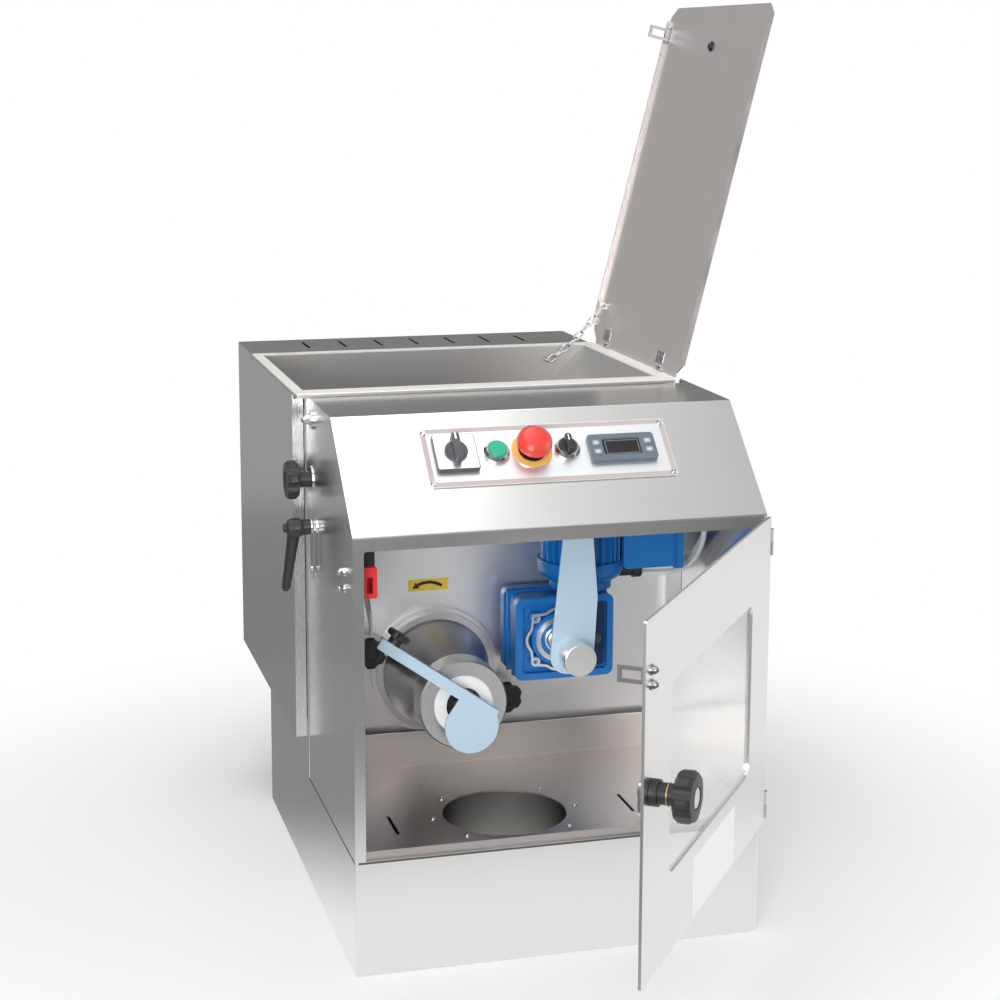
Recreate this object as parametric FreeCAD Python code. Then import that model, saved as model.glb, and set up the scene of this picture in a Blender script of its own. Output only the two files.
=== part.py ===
import FreeCAD, Part
import os
from math import atan2, cos, degrees, pi, radians, sin, tan

# Table-top dough divider: a hopper feeds a screw that pushes the dough out of a nozzle,
# and a rotating knife cuts it into portions that fall through a round chute in the floor.
# Millimetres. X to the right, Y into the depth, Z up. While the pieces are being made,
# Y is counted from the front of the hood; they are saved with the origin on the ground
# under the middle of the plinth.

V = FreeCAD.Vector
X_AXIS = V(1, 0, 0)
Y_AXIS = V(0, 1, 0)
Z_AXIS = V(0, 0, 1)

# Sheet metal
sheet = 2.0
bend = 4.0
seat_gap = 0.3
hang_gap = 1.0

# Plinth
base_width = 470.0
base_depth = 570.0
base_height = 131.0
plinth_rear_start = 282.0
plinth_rear_rise = 60.0
plinth_rear_inset = 23.0
plinth_flange = 14.0

# Hood over the cutting chamber
hood_width = 470.0
hood_front_height = 360.0
hood_height = 470.0
slant_run = 119.0
hood_top_end = 250.0
hood_side_end = 280.0
column_left = 12.0
column_right = 17.0
rail_height = 15.0
chute_gap = 2.0

# Chamber floor
floor_level = 10.0
floor_front = 4.0
floor_back = 262.0
upstand_height = 42.5
chute_x = -45.0
chute_y = 81.0
chute_radius = 71.0
chute_drop = 128.0
chute_flange = 17.0
floor_screw_radius = 84.0
floor_slot_length = 57.0
floor_slot_width = 4.0
floor_slot_y = 74.0
floor_slot_left = -177.0
floor_slot_right = 98.5

# Wall between chamber and rear
wall_front = 275.0
post_width = 20.0
post_depth = 14.0

# Rear casing
casing_left = -250.0
casing_right = 216.0
casing_start = 280.0
casing_back = 715.0
casing_bottom = 52.0
casing_top = hood_height + 4
casing_top_start = 597.0
casing_return = 13.0
casing_ledge = hood_height - 7
vent_count = 7
vent_pitch = 50.0
vent_first = -165.5
vent_length = 66.0
vent_width = 4.0
vent_y = 663.0

# Hopper
rim_left = -250.0
rim_right = 218.0
rim_front = 252.0
rim_back = 590.0
rim_level = hood_height + 5
rim_thickness = 5.0
hopper_left = -238.0
hopper_right = 204.0
hopper_back = 577.0
hopper_neck = 225.0
saddle_places = (345.0, 505.0)
saddle_half = 48.0
saddle_height = 34.0
trough_radius = 58.0

# Feed screw and nozzle
feed_x = -81.5
feed_level = 126.0
flight_clearance = 2.5
flight_pitch = 78.0
flight_thickness = 5.0
feed_shaft_radius = 17.0
feed_end = 268.0
barrel_wall = 3.0
barrel_flange_radius = 78.0
barrel_flange = 9.0
nozzle_flange_radius = 73.0
nozzle_flange = 8.0
cone_base_radius = 66.0
cone_tip_radius = 44.0
cone_wall = 3.0
collar_front = 126.0
collar_length = 32.0
collar_radius = 52.0
insert_radius = 35.0
insert_length = 22.0
outlet_radius = 21.0
nozzle_stud_radius = 91.0
lug_radius = 13.0
stud_radius = 4.0
stud_hole = 4.4
nozzle_stud_angle = -22.0
nozzle_knob_size = 19.0

# Knife and its gearmotor
knife_x = 48.0
knife_level = 179.0
blade_front = 120.0
blade_thickness = 3.0
blade_reach = 168.0
hub_radius = 19.0
sleeve_radius = 12.0
hub_front = 90.0
knife_gear_size = 40.0
star_boss_reach = 43.5
star_lobe_reach = 42.0
star_dip = 36.0
star_band = 3.0
star_thickness = 4.0
knife_gear_front = 183.0
feed_gear_size = 50.0
feed_gear_front = 596.0
bore_clearance = 0.05
knife_motor_radius = 52.0
knife_motor_length = hood_height - 280
feed_motor_radius = 62.0
feed_motor_length = hood_height - 255

# Portion gauge
gauge_pivot_y = 213.0
gauge_pivot_level = 326.0
gauge_front = 105.0
gauge_thickness = 2.0
gauge_left = -180.0
gauge_top = 218.0
gauge_slope = 35.4
gauge_length = 166.0
gauge_face = 13.0
gauge_flange = 12.0
gauge_disc_radius = 31.5
gauge_stud_at = 16.0
gauge_knob_radius = 14.0
gauge_slot_start = 3.0
gauge_slot_end = 29.5
strip_x = -192.0
bush_length = 7.0
groove_radius = 7.0
ring_wire = 1.4
ring_half = 11.5
ring_drop = 46.0
side_knob_y = 241.0
side_knob_level = 376.5
side_knob_radius = 22.5
side_bolt_y = 228.0
side_bolt_level = hood_height - 21.5

# Control panel, measured on the slanted face: across from the middle and down from its top
panel_x = 2.5
panel_down = 63.5
panel_width = 286.0
panel_height = 80.0
panel_thickness = 1.5
panel_screw_x = 138.0
panel_screw_y = 34.5
row_down = 60.5
main_switch_x = -105.0
main_switch_size = 48.0
start_x = -58.0
bezel_radius = 14.8
estop_x = -17.5
selector_x = 23.3
controller_x = 87.0
controller_down = 64.0
controller_width = 78.0
controller_height = 36.0

# Door and lid
door_axis_x = 239.0
door_axis_y = -2.0
door_width = 470.0
door_bottom = 3.0
door_top = hood_front_height - 1
door_thickness = 3.0
door_open = 53.2
window_near = 80.0
window_far = 385.0
window_low = 84.0
window_high = 277.0
window_radius = 14.0
pane_lap = 9.0
pane_thickness = 3.0
latch_from_hinge = 446.0
latch_level = 190.0
tongue_reach = 23.0
key_from_hinge = 451.0
key_level = 302.0
key_length = 30.0
key_bolt_pitch = 14.0
key_height = 16.0
lid_axis_x = 221.0
lid_axis_level = hood_height + 7
lid_length = 463.0
lid_front = 242.0
lid_back = 594.0
lid_lean = 104.1
lid_sheet = 1.5
lid_edge = 4.5
lid_chamfer = 18.0
lid_hinges = (325.0, 534.0)
lid_key_from_hinge = 425.0
lid_key_y = 583.0
lid_slot_half = 2.7
handle_from_hinge = 410.0
chain_x = 150.0
chain_level = hood_height - 15
chain_eye_at = 50.0
chain_eye_y = 566.0

deck = base_height
half_hood = hood_width / 2
rim_top = deck + rim_level
feed_z = deck + feed_level
knife_z = deck + knife_level
slant_rise = hood_height - hood_front_height
slant_angle = degrees(atan2(slant_rise, slant_run))

os.makedirs("parts", exist_ok=True)


def save(name, *solids):
    """Write one sub-part, moved so that the origin lies under the middle of the plinth."""
    shape = solids[0] if len(solids) == 1 else Part.makeCompound(list(solids))
    moved = shape.copy()
    moved.translate(V(0, -base_depth / 2, 0))
    moved.exportStep("parts/" + name + ".step")


def box(x0, x1, y0, y1, z0, z1):
    return Part.makeBox(x1 - x0, y1 - y0, z1 - z0, V(x0, y0, z0))


def rod(radius, start, end):
    path = end - start
    return Part.makeCylinder(radius, path.Length, start, path)


def ring(outer, inner, start, end):
    return rod(outer, start, end).cut(rod(inner, start, end))


def join(*shapes):
    return shapes[0].multiFuse(list(shapes[1:])).removeSplitter()


def rounded(corners, radii):
    """Closed wire through the corners, each rounded with its own radius."""
    spans = []
    for index, corner in enumerate(corners):
        if radii[index] == 0:
            spans.append((corner, None, corner))
            continue
        back = (corners[index - 1] - corner).normalize()
        ahead = (corners[(index + 1) % len(corners)] - corner).normalize()
        half = back.getAngle(ahead) / 2
        reach = radii[index] / tan(half)
        middle = corner + (back + ahead).normalize() * (radii[index] / sin(half) - radii[index])
        spans.append((corner + back * reach, middle, corner + ahead * reach))
    edges = []
    for index, (start, middle, end) in enumerate(spans):
        if middle is not None:
            edges.append(Part.Arc(start, middle, end).toShape())
        following = spans[(index + 1) % len(spans)][0]
        if end.distanceToPoint(following) > 1e-6:
            edges.append(Part.LineSegment(end, following).toShape())
    return Part.Wire(edges)


def slab(corners, radii, travel):
    return Part.Face(rounded(corners, radii)).extrude(travel)


def rounded_plate(x0, x1, z0, z1, y0, y1, radius):
    corners = [V(x0, y0, z0), V(x1, y0, z0), V(x1, y0, z1), V(x0, y0, z1)]
    return slab(corners, [radius] * 4, V(0, y1 - y0, 0))


def flat_plate(x0, x1, y0, y1, z0, z1, radius):
    corners = [V(x0, y0, z0), V(x1, y0, z0), V(x1, y1, z0), V(x0, y1, z0)]
    return slab(corners, [radius] * 4, V(0, 0, z1 - z0))


def turned(points, centre, axis):
    """Solid of revolution from (radius, distance along the axis) points."""
    profile = Part.makePolygon([V(r, 0, h) for r, h in points + points[:1]])
    solid = Part.Face(profile).revolve(V(0, 0, 0), Z_AXIS, 360)
    solid.Placement = FreeCAD.Placement(centre, FreeCAD.Rotation(Z_AXIS, axis))
    return solid


def place(shape, origin, rotation):
    moved = shape.copy()
    moved.Placement = FreeCAD.Placement(origin, rotation).multiply(moved.Placement)
    return moved


def pan_head(centre, axis, radius=3.3, height=2.0, recess=1.0):
    """Screw head with a cross recess, seated with its underside at the centre."""
    head = turned([(0, 0), (radius, 0), (radius, height * 0.5), (radius * 0.7, height), (0, height)],
                  V(0, 0, 0), Z_AXIS)
    arm = radius * 0.6
    half = radius * 0.14
    cross = join(box(-arm, arm, -half, half, height - recess, height + 1),
                 box(-half, half, -arm, arm, height - recess, height + 1))
    return place(head.cut(cross), centre, FreeCAD.Rotation(Z_AXIS, axis))


def dome_nut(centre, axis, radius=5.5, height=9.0):
    """Hexagonal nut with a domed end, on a washer, with a short thread behind."""
    washer = Part.makeCylinder(radius * 1.35, 1.2)
    hexagon = [V(radius * cos(radians(60 * k)), radius * sin(radians(60 * k)), 1.2) for k in range(6)]
    body = Part.Face(Part.makePolygon(hexagon + hexagon[:1])).extrude(V(0, 0, height * 0.5))
    dome = turned([(0, height * 0.5), (radius * 0.82, height * 0.5), (radius * 0.75, height * 0.85),
                   (radius * 0.4, height + 0.8), (0, height + 1.2)], V(0, 0, 0), Z_AXIS)
    return place(join(washer, body, dome), centre, FreeCAD.Rotation(Z_AXIS, axis))


def star_knob(seat, axis, radius, lobes=7, stem=0.4, height=1.15, bore=0.0, depth=0.0):
    """Moulded star grip on a neck; the seat is the end of the neck, the axis points at the cap."""
    top = radius * height
    grip = turned([(0, 0), (radius * stem, 0), (radius * stem, top * 0.45), (radius * 0.9, top * 0.5),
                   (radius, top * 0.6), (radius, top * 0.86), (radius * 0.9, top * 0.97),
                   (radius * 0.45, top), (radius * 0.4, top * 0.95), (0, top * 0.95)],
                  V(0, 0, 0), Z_AXIS)
    scallops = []
    for lobe in range(lobes):
        turn = 2 * pi * lobe / lobes
        centre = V(radius * 1.17 * cos(turn), radius * 1.17 * sin(turn), top * 0.46)
        scallops.append(Part.makeCylinder(radius * 0.33, top, centre))
    grip = grip.cut(Part.makeCompound(scallops))
    if bore:
        grip = grip.cut(Part.makeCylinder(bore, depth, V(0, 0, -0.1)))
    return place(grip, seat, FreeCAD.Rotation(Z_AXIS, axis))


# Plinth: a folded box, open below, with a raised rear part that carries the rear floor
half_base = base_width / 2
rear_right = half_base - plinth_rear_inset
plinth = box(-half_base, half_base, 0, base_depth, 0, deck)
raised = box(-half_base, rear_right, plinth_rear_start, base_depth, deck - sheet, deck + plinth_rear_rise)
plinth = join(plinth, raised)
front_corners = [edge for edge in plinth.Edges
                 if edge.BoundBox.ZLength > base_height - 1 and edge.BoundBox.YMax < 1]
plinth = plinth.makeFillet(bend, front_corners)
hollow = box(-half_base + sheet, half_base - sheet, sheet, base_depth - sheet, sheet, deck - sheet)
front_opening = box(-half_base + plinth_flange, half_base - plinth_flange, plinth_flange,
                    plinth_rear_start - sheet, deck - 2 * sheet, deck + 1)
rear_hollow = box(-half_base + sheet, rear_right - sheet, plinth_rear_start + sheet, base_depth - sheet,
                  deck - 2 * sheet, deck + plinth_rear_rise - sheet)
rear_opening = box(-half_base + plinth_flange, rear_right - plinth_flange,
                   plinth_rear_start + plinth_flange, base_depth - plinth_flange,
                   deck, deck + plinth_rear_rise + 1)
drop_hole = rod(chute_radius + sheet + chute_gap, V(chute_x, chute_y, -1), V(chute_x, chute_y, deck + 1))
plinth = plinth.cut(hollow).cut(front_opening).cut(rear_hollow).cut(rear_opening).cut(drop_hole)
save("base_plinth", plinth)

# Chamber floor: front lip, rear upstand, side turn-downs, round hole and two drain slots
inner = half_hood - sheet - 0.5
floor_z = deck + floor_level
floor = box(-inner, inner, floor_front, floor_back, floor_z - sheet, floor_z)
lip = box(-half_hood + column_left + 1, half_hood - column_right - 1, floor_front, floor_front + sheet,
          deck, floor_z)
upstand = box(-inner, inner, floor_back - sheet, floor_back, floor_z - sheet, floor_z + upstand_height)
turn_downs = [box(x0, x0 + sheet, plinth_flange, floor_back, deck, floor_z) for x0 in (-inner, inner - sheet)]
floor = join(floor, lip, upstand, *turn_downs)
chute_centre = V(chute_x, chute_y, 0)
floor = floor.cut(rod(chute_radius, chute_centre + V(0, 0, deck), chute_centre + V(0, 0, floor_z + 1)))
for slot_x in (floor_slot_left, floor_slot_right):
    half_w = floor_slot_width / 2
    floor = floor.cut(flat_plate(slot_x - half_w, slot_x + half_w, floor_slot_y - floor_slot_length / 2,
                                 floor_slot_y + floor_slot_length / 2, deck, floor_z + 1, half_w * 0.9))
save("floor_plate", floor)

# Round chute under the floor, its flange trimmed flat at the front
chute_top = floor_z - sheet
tube = ring(chute_radius + sheet, chute_radius, chute_centre + V(0, 0, chute_top - chute_drop),
            chute_centre + V(0, 0, chute_top))
collar = ring(chute_radius + chute_flange, chute_radius + sheet / 2,
              chute_centre + V(0, 0, chute_top - sheet), chute_centre + V(0, 0, chute_top))
collar = collar.common(box(-half_base, half_base, floor_front + sheet + 0.5, base_depth, 0, deck * 2))
save("drop_chute", join(tube, collar))

# Hood: one folded sheet with slanted front, columns beside the opening, and rear hems
profile = [V(-half_hood, 0, deck), V(-half_hood, 0, deck + hood_front_height),
           V(-half_hood, slant_run, deck + hood_height), V(-half_hood, hood_side_end, deck + hood_height),
           V(-half_hood, hood_side_end, deck)]
outer = slab(profile, [0, bend, bend, 0, 0], V(hood_width, 0, 0))
thin = sheet * tan(radians(slant_angle / 2))
inside = [V(-half_hood + sheet, sheet, deck),
          V(-half_hood + sheet, sheet, deck + hood_front_height - sheet / 2),
          V(-half_hood + sheet, slant_run + thin, deck + hood_height - sheet),
          V(-half_hood + sheet, hood_side_end + 1, deck + hood_height - sheet),
          V(-half_hood + sheet, hood_side_end + 1, deck)]
hood = outer.cut(slab(inside, [0, bend - sheet, bend - sheet, 0, 0], V(hood_width - 2 * sheet, 0, 0)))
hood = hood.cut(rounded_plate(-half_hood + column_left, half_hood - column_right, deck - 9,
                              deck + hood_front_height - rail_height, -1, sheet + 1, 3))
hood = hood.cut(box(-half_hood + sheet, half_hood - sheet, hood_top_end, hood_side_end + 1,
                    deck + hood_height - sheet - 1, deck + hood_height + 1))
hem_x = half_hood - sheet / 2
hem_radius = sheet * 1.2
hem_y = hood_side_end - hem_radius
hems = [rod(hem_radius, V(side * hem_x, hem_y, deck), V(side * hem_x, hem_y, deck + hood_height - 1))
        for side in (-1, 1)]
rail_turn = box(-half_hood + column_left, half_hood - column_right, sheet, 11,
                deck + hood_front_height - rail_height, deck + hood_front_height - rail_height + sheet)
hood = join(hood, *hems, rail_turn)
notch_depth = 16.0
hood = hood.cut(box(-half_hood - 3, -half_hood + 6, wall_front + sheet - seat_gap, hood_side_end + 1,
                    deck + hood_height - notch_depth, deck + hood_height + 1))
side_holes = [(gauge_pivot_y, gauge_pivot_level, 6.05), (side_knob_y, side_knob_level, 4.2),
              (side_bolt_y, side_bolt_level, 4.2)]
for hole_y, hole_level, hole_radius in side_holes:
    hood = hood.cut(rod(hole_radius, V(-half_hood - 1, hole_y, deck + hole_level),
                        V(-half_hood + sheet + 1, hole_y, deck + hole_level)))

# Dividing wall with the hole for the feed barrel
wall_back = wall_front + sheet
feed_axis = V(feed_x, 0, feed_z)
wall_half = hem_x - hem_radius - seat_gap
wall = box(-wall_half, wall_half, wall_front, wall_back, deck, deck + hood_height - rim_thickness)
wall = wall.cut(rod(trough_radius + barrel_wall, feed_axis + V(0, wall_front - 1, 0),
                    feed_axis + V(0, wall_back + 1, 0)))

# Two folded posts are welded into the front corners of the wall
posts = []
for side in (-1, 1):
    near = side * inner
    far = side * (inner - post_width)
    low, high = min(near, far), max(near, far)
    post_foot = floor_z + upstand_height + 1
    post = box(low, high, wall_front - post_depth, wall_front, post_foot, deck + hood_height - 24)
    channel = box(low + (sheet if side > 0 else -1), high + (1 if side > 0 else -sheet),
                  wall_front - post_depth + sheet, wall_front + 1, deck, deck + hood_height)
    posts.append(post.cut(channel))
save("dividing_wall", join(wall, *posts))

# Rear casing: side and back walls with front returns, vented top and a turned-in foot
casing = box(casing_left, casing_right, casing_start, casing_back, deck + casing_bottom, deck + casing_top)
upright = [edge for edge in casing.Edges
           if edge.BoundBox.ZLength > 300 and edge.BoundBox.YMin > casing_back - 1]
casing = casing.makeFillet(bend, upright)
casing = casing.cut(box(casing_left + sheet, casing_right - sheet, casing_start + sheet, casing_back - sheet,
                        deck + casing_bottom - 1, deck + casing_top - sheet))
casing = casing.cut(box(casing_left + casing_return, casing_right - casing_return, casing_start - 1,
                        casing_start + sheet + 1, deck + casing_bottom - 1, deck + casing_top + 1))
casing = casing.cut(box(casing_left - 1, casing_right + 1, casing_start - 1, casing_top_start,
                        deck + casing_ledge + sheet, deck + casing_top + 1))
ledge = box(casing_left + sheet, casing_right - sheet, rim_back, casing_top_start + sheet,
            deck + casing_ledge, deck + casing_ledge + sheet)
apron = box(casing_left + sheet, casing_right - sheet, casing_top_start, casing_top_start + sheet,
            deck + casing_ledge, deck + casing_top - sheet / 2)
sides_up = [box(x0, x0 + sheet, casing_start, rim_back, deck + casing_ledge, deck + hood_height)
            for x0 in (casing_left, casing_right - sheet)]
casing = join(casing, ledge, apron, *sides_up)
for vent in range(vent_count):
    x0 = vent_first + vent * vent_pitch - vent_width / 2
    casing = casing.cut(flat_plate(x0, x0 + vent_width, vent_y - vent_length / 2, vent_y + vent_length / 2,
                                   deck + casing_top - sheet - 1, deck + casing_top + 1, vent_width * 0.45))
save("rear_casing", casing)

# Floor of the rear, which rests on the raised part of the plinth
rear_floor = box(casing_left + sheet, casing_right - sheet, casing_start + sheet, casing_back - sheet,
                 deck + plinth_rear_rise, deck + plinth_rear_rise + sheet)
rear_lip = box(casing_left + sheet, casing_right - sheet, casing_start + sheet, casing_start + 2 * sheet,
               deck + plinth_rear_rise, deck + plinth_rear_rise + 14)
saddles = [box(feed_x - saddle_half, feed_x + saddle_half, y - 1.5, y + 1.5, deck + plinth_rear_rise + 1,
               deck + plinth_rear_rise + saddle_height) for y in saddle_places]
gear_pad = box(feed_x - 60, feed_x + 85, feed_gear_front + 8, feed_gear_front + 90,
               deck + plinth_rear_rise + 1, feed_z - 50.0 * feed_gear_size / 40.0)
rear_floor = join(rear_floor, rear_lip, gear_pad, *saddles)
feed_axis = V(feed_x, 0, feed_z)
save("rear_floor", rear_floor.cut(rod(trough_radius + sheet, feed_axis, feed_axis + V(0, hopper_back, 0))))

# Hopper: funnel that runs down into a round-bottomed trough, with a wide folded rim
hopper_front = wall_back


def hopper_section(grow, top, y):
    """Closed outline of the funnel and trough across the machine, grown by one wall."""
    radius = trough_radius + grow
    left = V(feed_x - radius, y, feed_z)
    right = V(feed_x + radius, y, feed_z)
    neck = deck + hopper_neck + grow * 0.4
    points = [right, V(feed_x + radius, y, neck), V(hopper_right + grow, y, top),
              V(hopper_left - grow, y, top), V(feed_x - radius, y, neck), left]
    edges = [Part.LineSegment(points[i], points[i + 1]).toShape() for i in range(len(points) - 1)]
    edges.append(Part.Arc(left, V(feed_x, y, feed_z - radius), right).toShape())
    return Part.Face(Part.Wire(edges))


shell = hopper_section(sheet, rim_top + 1, hopper_front).extrude(V(0, hopper_back - hopper_front, 0))
shell = shell.cut(box(rim_left - 9, rim_right + 9, 0, rim_back + 9, rim_top - 0.5, rim_top + 9))
rim = flat_plate(rim_left, rim_right, rim_front, rim_back, rim_top - rim_thickness, rim_top, 3)
rim = rim.cut(box(rim_left + sheet, rim_right - sheet, rim_front + sheet, rim_back - sheet,
                  rim_top - rim_thickness - 1, rim_top - sheet))
mouth = hopper_section(0, rim_top + 1, hopper_front + sheet).extrude(
    V(0, hopper_back - hopper_front - 2 * sheet, 0))
hopper = join(shell, rim).cut(mouth)
lid_key_x = lid_axis_x - lid_key_from_hinge
hopper = hopper.cut(box(lid_key_x - 13, lid_key_x + 13, lid_key_y - lid_slot_half - 0.5,
                        lid_key_y + lid_slot_half + 0.5, rim_top - rim_thickness - 1, rim_top + 1))
hopper = hopper.cut(rod(trough_radius, feed_axis + V(0, hopper_front - 1, 0),
                        feed_axis + V(0, hopper_front + 5, 0)))
rear_bearing = feed_shaft_radius + bore_clearance
hopper = hopper.cut(rod(rear_bearing, feed_axis + V(0, hopper_back - 5, 0),
                        feed_axis + V(0, hopper_back + 1, 0)))
lantern = ring(52, feed_shaft_radius + 12, feed_axis + V(0, hopper_back - 1, 0),
               feed_axis + V(0, feed_gear_front + 0.5, 0))
for turn in (0, 120, 240):
    window = box(-12, 12, hopper_back + 5, feed_gear_front - 5, 20, 60)
    lantern = lantern.cut(place(window, feed_axis, FreeCAD.Rotation(Y_AXIS, turn)))
chain_wall = V(chain_x, hopper_back - sheet, deck + chain_level)

# Feed barrel: flanged tube through the wall that continues the trough
barrel_face = wall_front - barrel_flange
barrel = ring(trough_radius + barrel_wall, trough_radius, feed_axis + V(0, barrel_face, 0),
              feed_axis + V(0, wall_back, 0))
barrel_ring = ring(barrel_flange_radius, trough_radius, feed_axis + V(0, barrel_face, 0),
                   feed_axis + V(0, wall_front, 0))

# Feed screw: helical flight on a round shaft, with a turned journal at the gearbox end
flight_radius = trough_radius - flight_clearance
screw_back = hopper_back - sheet - 3
helix_length = screw_back - feed_end - flight_thickness
helix = Part.makeHelix(flight_pitch, helix_length, feed_shaft_radius)
flight_section = Part.makePolygon([V(feed_shaft_radius - 2, 0, 0), V(flight_radius, 0, 0),
                                   V(flight_radius, 0, flight_thickness),
                                   V(feed_shaft_radius - 2, 0, flight_thickness),
                                   V(feed_shaft_radius - 2, 0, 0)])
flight = Part.Wire(helix).makePipeShell([flight_section], True, True)
flight = place(flight, feed_axis + V(0, feed_end, 0), FreeCAD.Rotation(Z_AXIS, Y_AXIS))
feed_gear_bore = 12.5
feed_shaft = rod(feed_shaft_radius, feed_axis + V(0, feed_end - 6, 0), feed_axis + V(0, hopper_back, 0))
journal = rod(feed_gear_bore, feed_axis + V(0, hopper_back - 1, 0), feed_axis + V(0, feed_gear_front + 92, 0))
save("feed_screw", join(feed_shaft, flight, journal))

# Nozzle: flanged cone, screwed collar and plastic outlet bush
nozzle_back = barrel_face
cone_end = collar_front + collar_length - 8
cone = turned([(trough_radius, 0), (nozzle_flange_radius, 0), (nozzle_flange_radius, nozzle_flange),
               (cone_base_radius, nozzle_flange), (cone_base_radius - 2, nozzle_flange + 6),
               (cone_tip_radius, nozzle_back - collar_front - collar_length),
               (cone_tip_radius, nozzle_back - cone_end),
               (cone_tip_radius - cone_wall, nozzle_back - cone_end),
               (cone_tip_radius - cone_wall, nozzle_back - collar_front - collar_length - 2)],
              feed_axis + V(0, nozzle_back, 0), V(0, -1, 0))
collar_face = 4.0
collar_shape = turned([(cone_tip_radius + bore_clearance, collar_length), (collar_radius - 1, collar_length),
                       (collar_radius, collar_length - 1), (collar_radius, 1.5), (collar_radius - 1.5, 0),
                       (insert_radius + bore_clearance, 0), (insert_radius + bore_clearance, collar_face),
                       (cone_tip_radius + bore_clearance, collar_face)],
                      feed_axis + V(0, collar_front, 0), Y_AXIS)
save("nozzle_collar", collar_shape)
insert = turned([(outlet_radius, -2), (insert_radius - 1.5, -2), (insert_radius, -0.5),
                 (insert_radius, collar_face), (cone_tip_radius - cone_wall - 1, collar_face),
                 (cone_tip_radius - cone_wall - 1, insert_length),
                 (cone_tip_radius - cone_wall - 4, insert_length), (outlet_radius, collar_face + 2)],
                feed_axis + V(0, collar_front, 0), Y_AXIS)
save("nozzle_insert", insert)


# Two threaded studs beside the nozzle, and the star knobs that clamp its flange
def stud_ear(turn, y0, y1):
    """Rounded ear that reaches from a flange to the stud at this angle."""
    arm = box(trough_radius + barrel_wall, nozzle_stud_radius, y0, y1, -lug_radius, lug_radius)
    tip = rod(lug_radius, V(nozzle_stud_radius, y0, 0), V(nozzle_stud_radius, y1, 0))
    return place(join(arm, tip), feed_axis, FreeCAD.Rotation(Y_AXIS, -turn))


nozzle_face = nozzle_back - nozzle_flange
studs = []
stud_places = []
stud_turns = (180 + nozzle_stud_angle, nozzle_stud_angle)
knob_names = ("nozzle_knob_left", "nozzle_knob_right")
for index, turn in enumerate(stud_turns):
    at = feed_axis + V(nozzle_stud_radius * cos(radians(turn)), 0, nozzle_stud_radius * sin(radians(turn)))
    stud_places.append(at)
    studs.append(rod(stud_radius, at + V(0, nozzle_face - 10, 0), at + V(0, wall_front, 0)))
    knob = star_knob(at + V(0, nozzle_face - seat_gap, 0), V(0, -1, 0), nozzle_knob_size, 6, 0.72, 1.0,
                     stud_radius + bore_clearance, 12)
    save(knob_names[index], knob)
for turn, at in zip(stud_turns, stud_places):
    cone = join(cone, stud_ear(turn, nozzle_face, nozzle_back))
    cone = cone.cut(rod(stud_hole, at + V(0, nozzle_face - 1, 0), at + V(0, nozzle_back + 1, 0)))
    barrel_ring = join(barrel_ring, stud_ear(turn, barrel_face, wall_front))
save("feed_barrel", join(barrel, barrel_ring, *studs))
save("nozzle_cone", cone)


def worm_gearbox(centre, front, size):
    """Worm gearbox seen along its output axis: framed faces, waisted body, bosses and bore."""
    scale = size / 40.0
    depth = 78.0 * scale
    low, high, side = 50.0 * scale, 71.5 * scale, 50.0 * scale
    x0, x1 = centre.x - low, centre.x + high
    z0, z1 = centre.z - side, centre.z + side
    face = 14.0 * scale
    pieces = []
    for y0 in (front + 5 * scale, front + depth - 5 * scale - face):
        frame = rounded_plate(x0, x1, z0, z1, y0, y0 + face, 9 * scale)
        outward = y0 - 1 if y0 < front + depth / 2 else y0 + face - 9 * scale
        frame = frame.cut(rounded_plate(x0 + 9 * scale, x1 - 8 * scale, z0 + 8 * scale, z1 - 8 * scale,
                                        outward, outward + 9 * scale + 1, 5 * scale))
        pieces.append(frame)
    body = rounded_plate(x0 + 4 * scale, x1 - 3 * scale, z0 + 3 * scale, z1 - 3 * scale,
                         front + 13.2 * scale, front + depth - 13.2 * scale, 16 * scale)
    hub = rod(31 * scale, V(centre.x, front + 0.5, centre.z), V(centre.x, front + depth - 0.5, centre.z))
    worm_case = rod(26 * scale, V(centre.x + size, front + depth / 2, z0 + 4.3),
                    V(centre.x + size, front + depth / 2, z1 + 4 * scale))
    ribs = [box(x0 + 1.6, x1 - 1.6, front + depth / 2 - 12 * k - 2, front + depth / 2 - 12 * k + 2,
                z0 + 1.3, z1 - 1.3) for k in (-1, 1)]
    bosses = []
    for k in range(4):
        turn = radians(45 + 90 * k)
        at = V(centre.x + 37.5 * scale * cos(turn), 0, centre.z + 37.5 * scale * sin(turn))
        bosses.append(rod(6.4 * scale, at + V(0, front + 4.2, 0), at + V(0, front + depth - 4.2, 0)))
    bore = 9.0 if size == 40 else feed_gear_bore
    shape = join(*pieces, body, hub, worm_case, *ribs, *bosses)
    return shape.cut(rod(bore + bore_clearance, V(centre.x, front - 1, centre.z),
                         V(centre.x, front + depth + 1, centre.z)))


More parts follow.
